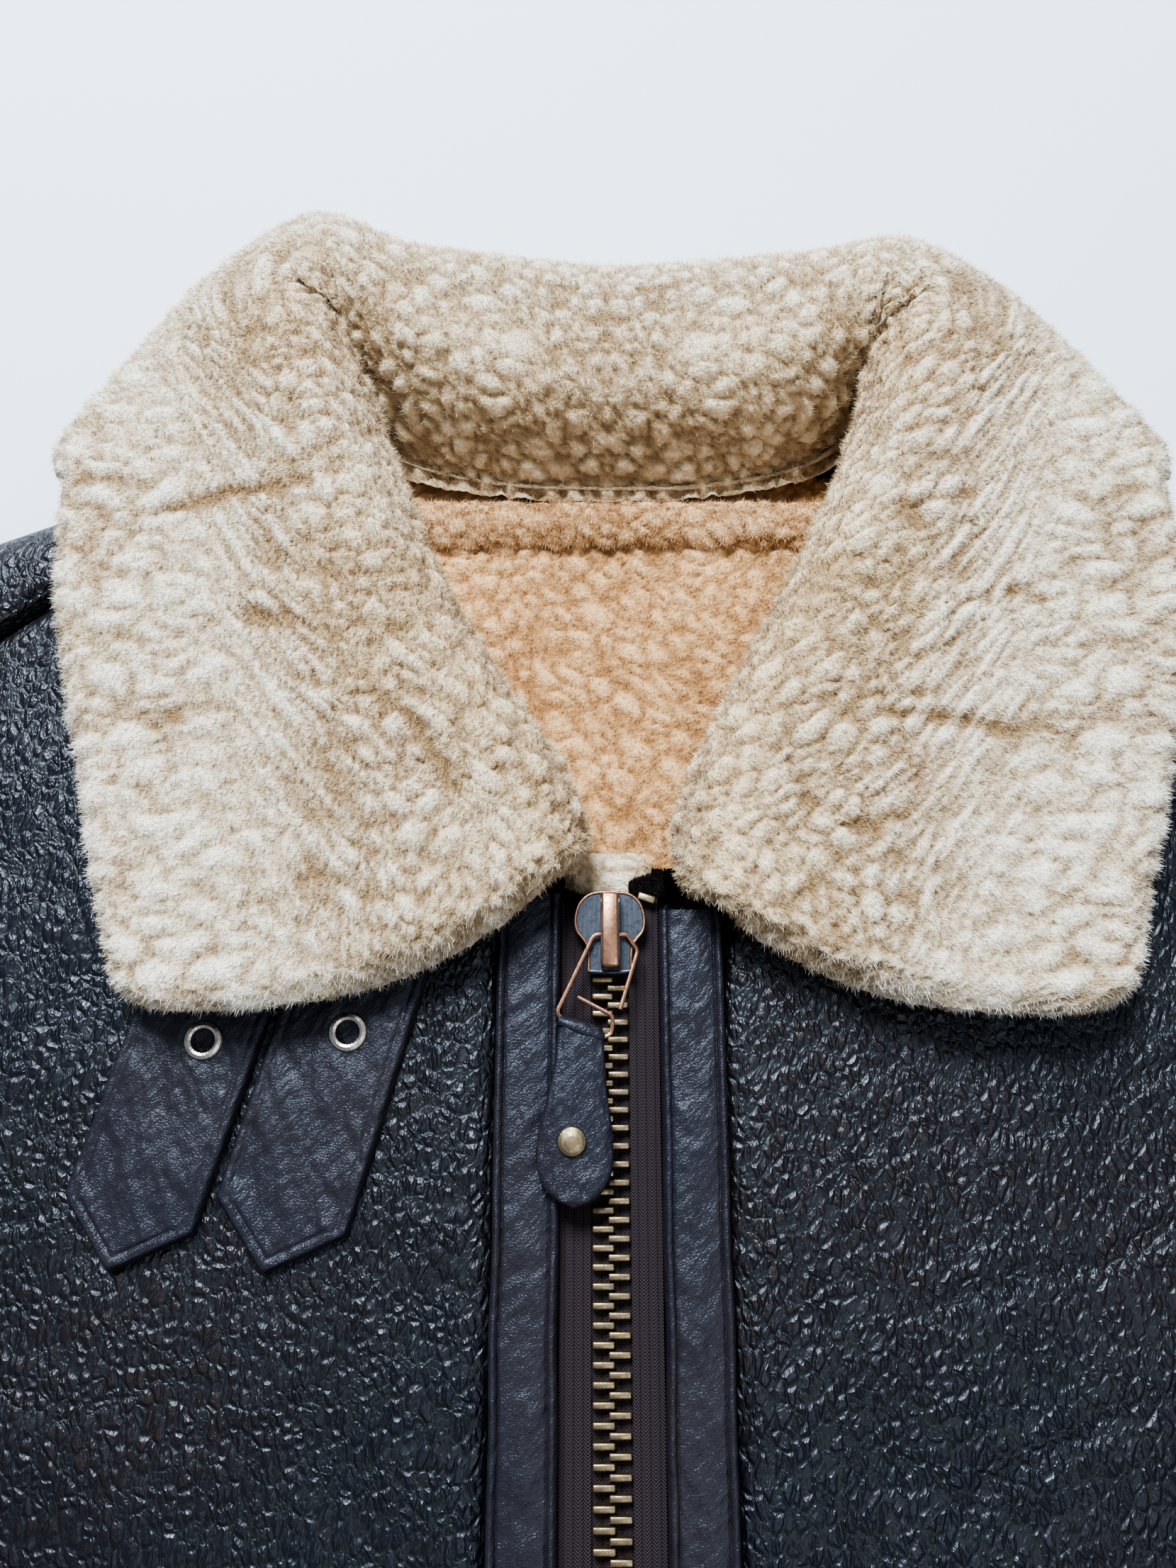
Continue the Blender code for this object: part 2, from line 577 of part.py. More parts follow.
def wire_path():
    """The wire from its end on the right leg, through the bridge, round the lower bar and back
    across to the left leg."""
    slope = (BAR_Z - WIRE_AXIS_Z) / (WIRE_AXIS_Y + 33)

    def at(x, y):
        return Vector((x, y, WIRE_AXIS_Z + (WIRE_AXIS_Y - y) * slope))

    corners = [at(2.4, -29.5), at(6.9, -15.0), at(4.2, WIRE_AXIS_Y), at(-4.0, WIRE_AXIS_Y),
               Vector((*BAR_LEFT, BAR_Z)), Vector((*BAR_RIGHT, BAR_Z)), Vector((0.7, -31.2, BAR_Z)),
               at(-8.0, -26.6)]
    return rounded_path(corners, 1.9, steps=4)


def make_wire():
    curve = bpy.data.curves.new("pull_wire", "CURVE")
    curve.dimensions = "3D"
    curve.bevel_depth = WIRE_RADIUS * MM
    curve.bevel_resolution = 2
    curve.use_fill_caps = True
    path = wire_path()
    spline = curve.splines.new("POLY")
    spline.points.add(len(path) - 1)
    pivot = place(0, WIRE_AXIS_Y, WIRE_AXIS_Z)
    for point, spot in zip(spline.points, path):
        point.co = (*(place(*spot) - pivot), 1)
    curve.materials.append(finish_of("copper"))
    wire = bpy.data.objects.new("pull_wire", curve)
    wire.location = pivot
    bpy.context.scene.collection.objects.link(wire)
    return wire


def tab_outline():
    """The tab's flat shape: narrow at the loop, wide and round at the lower end."""
    left = [(-12.6, -33.5), (-13.4, -40.0), (-15.2, -50.0), (-17.4, -58.0)]
    right = [(0.3, -57.0), (-0.8, -50.0), (-1.2, -43.0), (-1.9, -38.3)]
    round_end = []
    for step in range(9):
        angle = pi + pi * step / 8
        round_end.append((-8.6 + 9.0 * cos(angle), -66.2 + 9.3 * sin(angle)))
    return left + round_end + right


def make_tab():
    """The leather tab: folded over the wire's lower bar and riveted to itself."""
    tab = to_object(outline_mesh(tab_outline(), TAB_LOW, TAB_HIGH), "pull_tab", "smooth_leather")
    bar = Vector(BAR_RIGHT) - Vector(BAR_LEFT)
    middle = (Vector(BAR_RIGHT) + Vector(BAR_LEFT)) / 2
    turned = Matrix.Rotation(bar.angle_signed(Vector((1, 0))), 4, "Z") @ Matrix.Rotation(pi / 2, 4, "Y")
    for name, radius, length, operation in [
        ("tab_loop", LOOP_RADIUS, LOOP_LENGTH, "UNION"),
        ("tab_bore", LOOP_BORE, 3 * LOOP_LENGTH, "DIFFERENCE"),
    ]:
        mesh = bmesh.new()
        bmesh.ops.create_cone(mesh, cap_ends=True, segments=20, radius1=radius * MM,
                              radius2=radius * MM, depth=length * MM)
        bmesh.ops.transform(mesh, matrix=turned, verts=mesh.verts[:])
        bmesh.ops.translate(mesh, verts=mesh.verts[:], vec=place(*middle, BAR_Z))
        combine(tab, to_object(mesh, name, "smooth_leather"), operation)
    hole = make_disc([(0, TAB_LOW - 2), (RIVET_SHANK + GAP, TAB_LOW - 2),
                      (RIVET_SHANK + GAP, TAB_HIGH + 2), (0, TAB_HIGH + 2)], RIVET)
    combine(tab, to_object(hole, "tab_hole", "smooth_leather"), "DIFFERENCE")
    return tab


def make_rivet():
    base = TAB_HIGH + GAP
    dome = [(RIVET_RADIUS * cos(a), base + 0.4 + (RIVET_DOME - 0.4) * sin(a))
            for a in (0, pi / 8, pi / 4, 3 * pi / 8)]
    shank = [(0, TAB_LOW + 0.2), (RIVET_SHANK, TAB_LOW + 0.2), (RIVET_SHANK, base)]
    profile = shank + [(RIVET_RADIUS, base)] + dome + [(0, base + RIVET_DOME)]
    return make_disc(profile, RIVET)


def make_strap(name, tip_x, tip_y, lean, length, eyelet_across, eyelet_along):
    """A pointed collar strap with its eyelet."""
    up = Vector((sin(radians(lean)), cos(radians(lean))))
    side = Vector((up.y, -up.x))
    tip = Vector((tip_x, tip_y))
    shape = [(0, 0), (STRAP_HALF, STRAP_POINT), (STRAP_HALF, length), (-STRAP_HALF, length),
             (-STRAP_HALF, STRAP_POINT)]
    outline = [tip + side * across + up * along for across, along in shape]
    strap = to_object(outline_mesh(outline, STRAP_LOW, STRAP_HIGH), f"strap_{name}", "smooth_leather")
    centre = tuple(tip + side * eyelet_across + up * eyelet_along)
    hole = make_disc([(0, STRAP_LOW - 2), (EYELET_BARREL + GAP, STRAP_LOW - 2),
                      (EYELET_BARREL + GAP, STRAP_HIGH + 2), (0, STRAP_HIGH + 2)], centre)
    combine(strap, to_object(hole, f"strap_{name}_hole", "smooth_leather"), "DIFFERENCE")
    low, high = STRAP_LOW + 0.1, STRAP_HIGH + GAP
    ring = [(EYELET_HOLE, low), (EYELET_BARREL, low), (EYELET_BARREL, high), (EYELET_OUTER, high),
            (EYELET_OUTER - 0.3, high + 0.45), (EYELET_OUTER - 1.1, high + 0.7),
            (EYELET_HOLE + 0.3, high + 0.45)]
    to_object(make_disc(ring, centre), f"eyelet_{name}", "nickel")


def main():
    for old in list(bpy.data.objects):
        bpy.data.objects.remove(old, do_unlink=True)
    to_object(make_back(), "back", "leather")
    to_object(make_neck_strip(), "neck_strip", "wool")
    sides = [("right", 1, NECK_OF_RIGHT, FOLDS, COLLAR_RIGHT_ROWS, -4.5),
             ("left", -1, NECK_OF_LEFT, MIRRORED_FOLDS, COLLAR_LEFT_ROWS, -0.5)]
    for name, side, neck, folds, collar, strip_top in sides:
        to_object(make_front(side, neck, folds), f"front_{name}", "leather")
        to_object(make_yoke(side), f"shoulder_{name}", "leather")
        upper = make_sleeve(side, FRONT_LOW, FRONT_HIGH, folds)
        to_object(upper, f"sleeve_{name}_upper", "leather")
        under = make_sleeve(side, 0.0, BACK_HIGH, None)
        to_object(under, f"sleeve_{name}_under", "leather")
        to_object(make_collar(side, collar), f"collar_{name}", "wool")
        to_object(make_strip(side, strip_top), f"zip_strip_{name}", "smooth_leather")
        inner, outer = sorted((side * TAPE_INNER, side * (STRIP_INNER - GAP)))
        tape = make_box((inner, HEM_Y, TAPE_LOW), (outer, -1.0, TAPE_HIGH))
        to_object(tape, f"zip_tape_{name}", "tape")
    flap = make_box((-FLAP_HALF, HEM_Y, FRONT_LOW), (FLAP_HALF, FLAP_TOP, FLAP_HIGH))
    to_object(flap, "wind_flap", "wool")
    chain = make_box((-CHAIN_HALF, HEM_Y + 1, CHAIN_LOW), (CHAIN_HALF, CHAIN_TOP, CHAIN_HIGH))
    to_object(chain, "zip_chain", "brass")
    make_slider()
    make_wire()
    make_tab()
    to_object(make_rivet(), "pull_rivet", "brass")
    for strap in STRAPS:
        make_strap(*strap)


main()
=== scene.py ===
"""Looks of the sheepskin flying jacket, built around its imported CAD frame.

Tables and shapes are in millimetres. X runs to the right, Y is measured from the top of the zip
towards the collar, and Z is up from the table, until place() turns points into metres.
"""

from math import cos, pi, radians, sin, tan

import bmesh
import bpy
import numpy as np
from mathutils import Matrix, Vector, noise


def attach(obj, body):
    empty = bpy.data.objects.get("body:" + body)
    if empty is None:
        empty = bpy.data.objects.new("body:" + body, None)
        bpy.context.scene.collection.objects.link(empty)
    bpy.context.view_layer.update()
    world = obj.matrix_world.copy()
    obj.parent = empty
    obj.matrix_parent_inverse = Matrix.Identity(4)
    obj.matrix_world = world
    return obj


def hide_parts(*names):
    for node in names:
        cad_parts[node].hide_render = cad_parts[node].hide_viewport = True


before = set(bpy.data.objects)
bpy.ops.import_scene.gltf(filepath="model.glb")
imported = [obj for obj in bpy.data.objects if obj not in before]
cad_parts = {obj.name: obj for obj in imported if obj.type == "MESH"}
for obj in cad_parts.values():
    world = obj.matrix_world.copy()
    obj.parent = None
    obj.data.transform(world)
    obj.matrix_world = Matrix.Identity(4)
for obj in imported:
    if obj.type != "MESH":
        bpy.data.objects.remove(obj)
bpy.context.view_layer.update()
chance = np.random.default_rng(7)

MM = 0.001
ZIP_TOP = 171.0  # Y of the top of the zip from the middle of the jacket's length

# The frame's own measures, as in the CAD.
HEM_Y, HEM_HALF, CHEST_HALF, ARMPIT_Y = -532.0, 272.0, 285.0, -180.0
SHOULDER, SHOULDER_NECK = (245.0, 74.0), (95.0, 134.0)
ARMHOLE_HOLLOW, YOKE_ON_ARMHOLE = 32.0, 0.79
GAP, ARMHOLE_GAP, LIP = 0.3, 1.0, 1.5
BACK_HIGH, FRONT_LOW, FRONT_HIGH = 13.0, 13.3, 27.0
COLLAR_HALF_WALL, TUCKED_Z = 7.5, 8.0
SEAM_DEPTH, SEAM_WIDTH = 1.6, 2.2  # of the dip in the leather beside a seam

# Front panel below the armpit: its edge at the zip, its outer edge, and how far that is rounded.
# Columns: inner_x, inner_y, outer_x, outer_y, rounded.
FRONT_LOWER_ROWS = [
    (28.6, HEM_Y, HEM_HALF, HEM_Y, 1),
    (28.6, -440, 277, -440, 1),
    (28.6, -345, 281, -345, 1),
    (28.6, -262, 284, -262, 1),
]
# Above the armpit: shares of the armhole seam, and the neck's edge at each of them, (x, y).
ARMHOLE_STEPS = [0.0, 0.13, 0.27, 0.41, 0.53, 0.62, 0.69, 0.745, YOKE_ON_ARMHOLE]
NECK_OF_RIGHT = [(28.6, -185), (28.6, -130), (28.6, -75), (28.6, -32), (32.0, -4),
                 (36.5, 14), (50, 42), (73, 80), (94, 121)]
NECK_OF_LEFT = [(28.6, -185), (28.6, -130), (28.6, -75), (28.6, -32), (28.6, -8),
                (29.0, 8), (46, 43), (69, 80), (94, 121)]
# Sleeve from armhole to cuff: its under edge, its upper edge and how far the row is hollowed.
# Columns: under_x, under_y, upper_x, upper_y, hollow.
SLEEVE_ROWS = [
    (CHEST_HALF, ARMPIT_Y, *SHOULDER, ARMHOLE_HOLLOW),
    (304, -208, 292, 48, 17),
    (334, -250, 346, -2, 6),
    (372, -307, 417, -92, 0),
    (414, -366, 488, -192, 0),
    (463, -436, 559, -300, 0),
    (521, -522, 639, -430, 0),
]
# Back panel below the armpit. Columns: outer_x, outer_y, middle_y, lifted.
BACK_LOWER_ROWS = [
    (HEM_HALF, HEM_Y, HEM_Y, 0),
    (277, -440, -440, 0),
    (281, -345, -345, 0),
    (284, -262, -262, 0),
]
BACK_MIDDLES = [(0.0, -185, 0), (0.25, -110, 0), (0.5, -38, 5), (0.75, 40, 16), (1.0, 118, 33)]
NECK_SHARE = SHOULDER_NECK[0] / SHOULDER[0]

# Collar rows from the front end to the back's middle. The wall goes out from its seam for a share of
# the way, rises to the head of its roll, whose top is given, and runs out to its outermost point.
# Drop and tuck are how far it goes down and back under there, and bow bends a row forwards.
# Columns: seam_x, seam_y, seam_z, head_x, head_y, top, share, out_x, out_y, out_z, drop, tuck, bow.
COLLAR_LEFT_ROWS = [
    (21, 9, 20.2, 10.5, 4.6, 45.5, 0.95, 118, -35, 38.0, 0, 0, 12),
    (27, 23, 20.2, 15.2, 24.9, 47, 1, 125, -8, 38.5, 0, 0, 7),
    (41, 44, 20.2, 29.4, 45.9, 50, 1, 134, 30, 40, 0, 0, 3),
    (62, 75, 20.2, 47.5, 76.5, 53, 1, 143.5, 70, 42, 0, 0, 0),
    (76, 104, 20.2, 60.5, 105, 55, 1, 146, 104, 42, 0, 0, 0),
    (84, 126, 20.2, 69.5, 132, 56, 0.9, 145, 130, 38, 0.4, 4, 0),
    (84, 139, 15, 74.5, 153, 56, 0.6, 134, 154, 38, 0.9, 18, 0),
    (79, 138, 9, 75, 166, 55, 0.5, 115, 178, 40, 1, 12, 0),
    (71, 134, 7.5, 71, 168, 52, 0.45, 89, 200, 41, 1, 14, 0),
    (56, 125, 7, 57, 153, 47, 0.35, 59, 195, 38, 1, 26, 0),
    (29, 120, 7, 29, 143, 41, 0.35, 29.5, 192.5, 34, 1, 34, 0),
    (0.15, 118.6, 7, 0.15, 141, 39, 0.35, 0.15, 189.5, 32.5, 1, 34, 0),
]
COLLAR_RIGHT_ROWS = [
    (33, 8, 20.2, 24.2, -4.0, 45.5, 0.5, 125, -35, 38.0, 0, 0, 10),
    (34.5, 17, 20.2, 22.9, 16.5, 47, 1, 131, -8, 38.5, 0, 0, 6),
    (45.5, 40, 20.2, 33.5, 41.3, 50, 1, 142, 32, 40, 0, 0, 3),
    (66, 76, 20.2, 51.5, 76.6, 53, 1, 150, 72, 42, 0, 0, 0),
    (80, 104, 20.2, 66.5, 105, 55, 1, 149, 103, 42, 0, 0, 0),
    (85, 126, 20.2, 75, 131, 56, 0.9, 145, 130, 38, 0.4, 4, 0),
    (85, 139, 15, 78, 152, 55, 0.6, 134, 153, 37, 0.9, 18, 0),
    (80, 138, 9, 77, 164, 53, 0.5, 115, 175, 38, 1, 12, 0),
    (72, 133, 7.5, 72, 164, 49, 0.45, 90, 194, 38, 1, 14, 0),
    (56, 125, 7, 57, 151, 45, 0.35, 61, 193, 36, 1, 26, 0),
    (29, 120, 7, 29, 142, 41, 0.35, 30, 191, 34, 1, 33, 0),
    (0.15, 118.6, 7, 0.15, 141, 39, 0.35, 0.15, 189.5, 32.5, 1, 34, 0),
]

# Broad soft folds: a line, how far it rises or, below 0, sinks, and its half width.
FOLDS = [
    (70, -210, 175, -120, -1.6, 14), (60, -250, 190, -150, 1.6, 14),
    (120, -420, 245, -300, -1.8, 18), (90, -470, 230, -350, 1.6, 16),
    (250, -150, 205, -60, -2.4, 14), (305, -190, 330, -60, 2.4, 16),
    (340, -235, 372, -120, -2.8, 14), (372, -270, 430, -140, 2.6, 15),
    (395, -325, 452, -215, -3.0, 13), (425, -365, 500, -250, 2.4, 14),
    (455, -405, 512, -320, -2.4, 13), (510, -480, 590, -400, 1.8, 15),
]
MIRRORED_FOLDS = [
    (65, -190, 160, -140, -1.4, 14), (75, -300, 215, -215, 1.8, 17),
    (110, -380, 250, -330, -1.8, 16), (60, -480, 160, -400, 1.4, 16),
    (255, -140, 212, -50, -2.2, 14), (312, -200, 322, -80, 2.2, 15),
    (345, -240, 385, -130, -2.6, 15), (385, -290, 425, -180, 2.8, 14),
    (410, -340, 475, -240, -2.8, 14), (440, -385, 505, -290, 2.2, 13),
    (480, -430, 545, -350, -2.0, 14),
]

# Creases of the leather: how deep, half width, and the points that each one runs through.
CREASES_RIGHT = [
    (1.1, 1.5, [(64, -106), (69, -100), (76, -96.5), (85, -93.4), (94, -91.4), (106, -88.8),
                (114, -88), (133, -79), (170, -66), (210, -70)]),
    (1.2, 1.6, [(70, -144.5), (78, -139), (84, -133), (91, -130), (100, -126.6), (105, -125),
                (113, -120), (121, -117), (128, -116), (160, -98), (205, -92)]),
    (0.8, 1.2, [(109, -127.6), (116, -124), (123, -120), (150, -112)]),
    (0.8, 1.1, [(47, -38), (50.5, -45.8), (53.4, -50), (62.4, -59.2), (69.6, -65.7)]),
    (0.6, 1.2, [(50, -79), (53.7, -73.8), (57.4, -68), (62, -61.6), (69, -54), (80, -44)]),
    (0.8, 1.4, [(68, -64), (76, -63), (85, -61), (94, -58), (103, -58), (112, -54), (119, -52),
                (128, -46), (138, -43), (165, -30)]),
    (0.5, 1.1, [(52.6, -48), (63, -45), (70, -41.6)]),
    (0.6, 1.0, [(29.6, -108), (37, -102), (44, -100)]),
    (0.5, 1.0, [(30, -147), (40, -152), (52, -150)]),
    (1.2, 2.4, [(60, -200), (110, -188), (150, -165), (200, -155)]),
    (1.0, 2.6, [(60, -330), (120, -300), (190, -290), (240, -260)]),
]
CREASES_LEFT = [
    (0.7, 1.3, [(185, -84), (144, -79.4), (139, -78.6), (133, -76), (128, -73)]),
    (0.8, 1.5, [(190, -108), (139, -114), (131, -117), (124, -119), (117, -117.5), (108, -112)]),
    (0.9, 1.4, [(103, -124.7), (92.5, -126), (83, -125.5), (77, -121), (67, -115)]),
    (0.6, 1.3, [(117, -99.6), (106, -100), (95, -95.7), (88, -93.4)]),
    (1.0, 2.4, [(70, -215), (120, -195), (170, -190), (215, -160)]),
    (1.0, 2.6, [(60, -350), (130, -330), (180, -300), (240, -290)]),
]

# Crevices between the collar's locks, which also darken the wool as painted shade: how deep, half width, and
# the points they run through.
CREVICES_RIGHT = [
    (0.7, 1.1, [(98, 71), (109, 70.6), (115, 69)]),
    (0.6, 1.3, [(70, 90), (76, 95), (81, 90)]),
    (0.6, 1.2, [(60, 79.4), (68, 75)]),
    (0.8, 1.1, [(63, 40.5), (75, 39.6), (90, 38.7), (98, 37), (110, 36), (121, 33.5)]),
    (0.6, 1.0, [(45.7, 21.4), (50, 15.6), (53.6, 14.7)]),
    (0.6, 0.9, [(57.8, 18), (58.4, 13.8), (63, 11.3), (68, 11.3)]),
]
CREVICES_LEFT = [
    (0.9, 1.2, [(118, 95), (105, 97.8), (87.6, 101.7), (72, 103)]),
    (0.7, 1.2, [(98.5, 68), (85, 66), (70, 63)]),
    (0.5, 1.2, [(143, 105), (127, 105)]),
    (0.6, 1.1, [(118, 36.7), (106, 42.7)]),
    (0.8, 1.0, [(53, 43.5), (47.7, 36.7), (42.6, 29), (38.5, 23.5), (31, 24)]),
    (0.6, 0.9, [(28, 27.6), (19.5, 26)]),
    (0.6, 1.0, [(73, 0.8), (68.6, 0.2)]),
]


def place(points):
    """Points in millimetres as metres about the middle of the jacket."""
    return (np.asarray(points, float) + (0, ZIP_TOP, 0)) * MM


# Shader helpers.


class Value:
    """A socket of a node tree, so that shader maths is written as an expression."""

    def __init__(self, looks, socket):
        self.looks, self.socket = looks, socket

    def maths(self, kind, *terms):
        made = self.looks.tree.nodes.new("ShaderNodeMath")
        made.operation = kind
        for socket, term in zip(made.inputs, terms):
            self.looks.feed(socket, term)
        return Value(self.looks, made.outputs[0])

    def __add__(self, other):
        return self.maths("ADD", self, other)

    def __sub__(self, other):
        return self.maths("SUBTRACT", self, other)

    def __rsub__(self, other):
        return self.maths("SUBTRACT", other, self)

    def __mul__(self, other):
        return self.maths("MULTIPLY", self, other)

    def __truediv__(self, other):
        return self.maths("DIVIDE", self, other)

    __radd__ = __add__
    __rmul__ = __mul__

    def between(self, low, high):
        """0 up to low, 1 from high, and a smooth step from one to the other."""
        share = self.maths("MINIMUM", self.maths("MAXIMUM", (self - low) / (high - low), 0.0), 1.0)
        return share * share * (3.0 - 2.0 * share)


class Looks:
    """One material and its nodes."""

    def __init__(self, name, **constants):
        self.material = bpy.data.materials.new(name)
        self.material.use_nodes = True
        self.tree = self.material.node_tree
        self.surface = self.tree.nodes["Principled BSDF"]
        for socket, value in constants.items():
            self.surface.inputs[socket.replace("_", " ")].default_value = value
        self.where = self.node("ShaderNodeTexCoord", {}, "Object")

    def feed(self, socket, term):
        if isinstance(term, Value):
            self.tree.links.new(term.socket, socket)
        else:
            socket.default_value = term

    def node(self, kind, inputs, output=0, **settings):
        made = self.tree.nodes.new(kind)
        for name, value in settings.items():
            setattr(made, name, value)
        for name, term in inputs.items():
            self.feed(made.inputs[name], term)
        return Value(self, made.outputs[output])

    def stretched(self, x, y, z):
        return self.node("ShaderNodeVectorMath", {0: self.where, 1: (x, y, z)}, operation="MULTIPLY")

    def noise(self, scale, detail=2.0, roughness=0.5, where=None):
        inputs = {"Vector": where or self.where, "Scale": scale, "Detail": detail, "Roughness": roughness}
        return self.node("ShaderNodeTexNoise", inputs)

    def cells(self, scale, where=None):
        """The distance from the edges between the cells of a pattern."""
        inputs = {"Vector": where or self.where, "Scale": scale}
        return self.node("ShaderNodeTexVoronoi", inputs, "Distance", feature="DISTANCE_TO_EDGE")

    def attribute(self, name):
        return self.node("ShaderNodeAttribute", {}, "Fac", attribute_name=name)

    def mix(self, share, one, other):
        inputs = {0: share, 6: one, 7: other}
        return self.node("ShaderNodeMix", inputs, 2, data_type="RGBA")

    def bump(self, height, distance, strength=1.0, under=None):
        inputs = {"Height": height, "Distance": distance, "Strength": strength}
        if under:
            inputs["Normal"] = under
        return self.node("ShaderNodeBump", inputs)

    def show(self, **parts):
        for name, value in parts.items():
            self.feed(self.surface.inputs[name.replace("_", " ")], value)
        return self.material


def leather_looks():
    """Pebbled leather: upright oval grains with fine cracks between them, painted darker in the cracks as
    shade, browner in patches.
    """
    looks = Looks("pebbled_leather", Specular_IOR_Level=0.5, Specular_Tint=(0.80, 0.88, 1.0, 1.0))
    drift = looks.noise(90.0, 3.0)
    upright = looks.stretched(1.2, 0.68, 1.0)
    moved = looks.node("ShaderNodeVectorMath", {0: drift, 1: (0.006, 0.004, 0.0), 2: upright},
                       operation="MULTIPLY_ADD")
    grain = looks.cells(370.0, moved).between(0.0, 0.34)
    fine = looks.cells(950.0, moved).between(0.0, 0.3)
    broad = looks.noise(14.0, 3.0)
    ripple = looks.noise(70.0, 3.0, 0.6, looks.stretched(1.0, 0.55, 1.0))
    height = grain * (0.35 + broad) + fine * 0.15 + ripple * 1.6
    brown = looks.noise(8.0, 3.0).between(0.42, 0.66)
    colour = looks.mix(brown, (0.0045, 0.0050, 0.0095, 1), (0.0140, 0.0080, 0.0070, 1))
    # Painted shade: the cracks between grains take a darker colour.
    colour = looks.mix(grain, (0.0028, 0.0028, 0.0040, 1), colour)
    rough = 0.36 - 0.10 * grain + 0.16 * broad
    return looks.show(Base_Color=colour, Roughness=rough, Normal=looks.bump(height, 0.00050, 1.0))


def smooth_leather_looks():
    """Smooth leather with fine pores and small slanting wrinkles."""
    looks = Looks("smooth_leather", Specular_IOR_Level=0.36, Specular_Tint=(0.74, 0.86, 1.0, 1.0))
    pores = looks.cells(1500.0).between(0.0, 0.3)
    slant = looks.node("ShaderNodeVectorRotate", {"Vector": looks.where, "Angle": 0.7})
    slant = looks.node("ShaderNodeVectorMath", {0: slant, 1: (1.0, 0.35, 1.0)}, operation="MULTIPLY")
    wrinkle = looks.noise(330.0, 3.0, 0.6, slant)
    soft = looks.noise(75.0, 3.0, 0.55, looks.stretched(1.0, 0.6, 1.0))
    colour = looks.mix(looks.noise(22.0, 3.0), (0.009, 0.011, 0.020, 1), (0.022, 0.016, 0.018, 1))
    normal = looks.bump(pores, 0.00008, 0.6, looks.bump(wrinkle + 3.0 * soft, 0.0009, 0.9))
    return looks.show(Base_Color=colour, Roughness=0.30 + 0.20 * soft, Normal=normal)


def wool_looks(name, hollow_shade, pale, warm):
    """Curled wool. Pale and warm are each a pair of colours for the wool's middle and its tips, and the
    pile's own height runs from the first colour through them: the first colour is painted shade low in the
    pile, and the paler tips are partly the wool's own colour and partly painted light. The share of warm
    colour is the wool's own too."""
    looks = Looks(name, Specular_IOR_Level=0.12, Sheen_Weight=0.25, Sheen_Roughness=0.45)
    pile = looks.attribute("pile")
    share = looks.attribute("warm") + 0.35 * (looks.noise(55.0, 2.0) - 0.5)
    share = share.between(0.0, 1.0)
    middle = looks.mix(share, pale[0], warm[0])
    tip = looks.mix(share, pale[1], warm[1])
    fibre = looks.noise(1100.0, 3.0, 0.65)
    # Painted shade: low pile, in the hollows between locks, takes the dark first colour, and high pile goes
    # over to the paler tips, partly painted light.
    tone = looks.mix(pile.between(0.06, 0.62), hollow_shade, middle)
    tone = looks.mix((pile + 0.3 * (fibre - 0.5)).between(0.34, 0.92), tone, tip)
    return looks.show(Base_Color=tone, Roughness=0.95, Normal=looks.bump(fibre, 0.0012, 0.9))


def metal_looks(name, clean, dull, roughness):
    """Worn metal: dull film and fine scratches over a cleaner base."""
    looks = Looks(name, Metallic=1.0)
    film = looks.noise(700.0, 4.0, 0.6).between(0.35, 0.7)
    scratch = looks.noise(1600.0, 2.0, 0.5, looks.stretched(1.0, 0.12, 1.0))
    colour = looks.mix(film, clean, dull)
    return looks.show(Base_Color=colour, Roughness=roughness + 0.22 * film,
                      Normal=looks.bump(scratch, 0.00008, 0.6))


TAPE_BAND, TAPE_RIB = 0.0011, 0.00038  # width of a band of the braid and of a rib in it, in metres


def tape_looks():
    """Braided zip tape: slanted ribs that change direction from one band to the next, painted dark in the
    grooves as shade and lighter on the ribs' tops.
    """
    looks = Looks("braided_tape", Specular_IOR_Level=0.2)
    across = looks.node("ShaderNodeSeparateXYZ", {0: looks.where}, 0)
    along = looks.node("ShaderNodeSeparateXYZ", {0: looks.where}, 1)
    band = across.maths("PINGPONG", across, TAPE_BAND)
    slope = along + band * 1.1
    rib = slope.maths("PINGPONG", slope, TAPE_RIB) / TAPE_RIB
    groove = (band / TAPE_BAND).between(0.0, 0.2)
    height = rib.between(0.1, 0.9) * groove
    # Painted shade and light: the grooves between ribs and bands are dark and the rib tops lighter.
    colour = looks.mix(height, (0.010, 0.007, 0.010, 1), (0.060, 0.044, 0.050, 1))
    return looks.show(Base_Color=colour, Roughness=0.9, Normal=looks.bump(height, 0.0004, 0.9))


# Mesh helpers.


def in_scene(name, data):
    """A new object of the scene that shows this mesh, camera or light."""
    made = bpy.data.objects.new(name, data)
    bpy.context.scene.collection.objects.link(made)
    return made


def smooth_rows(rows, steps):
    """The rows of a table with more worked out between them, on a smooth curve through them."""
    rows = np.array(rows, float)
    ends = np.vstack([2 * rows[0] - rows[1], rows, 2 * rows[-1] - rows[-2]])
    made = []
    for a, b, c, d in zip(ends, ends[1:], ends[2:], ends[3:]):
        for t in np.arange(steps) / steps:
            curve = 2 * b + (c - a) * t + (2 * a - 5 * b + 4 * c - d) * t**2
            made.append(0.5 * (curve + (3 * b - a - 3 * c + d) * t**3))
    made.append(rows[-1])
    return np.array(made)


def armhole(share):
    """The armhole seam from the armpit, share 0, to the shoulder, share 1."""
    x = CHEST_HALF + (SHOULDER[0] - CHEST_HALF) * share - 4 * ARMHOLE_HOLLOW * share * (1 - share)
    return x, ARMPIT_Y + (SHOULDER[1] - ARMPIT_Y) * share


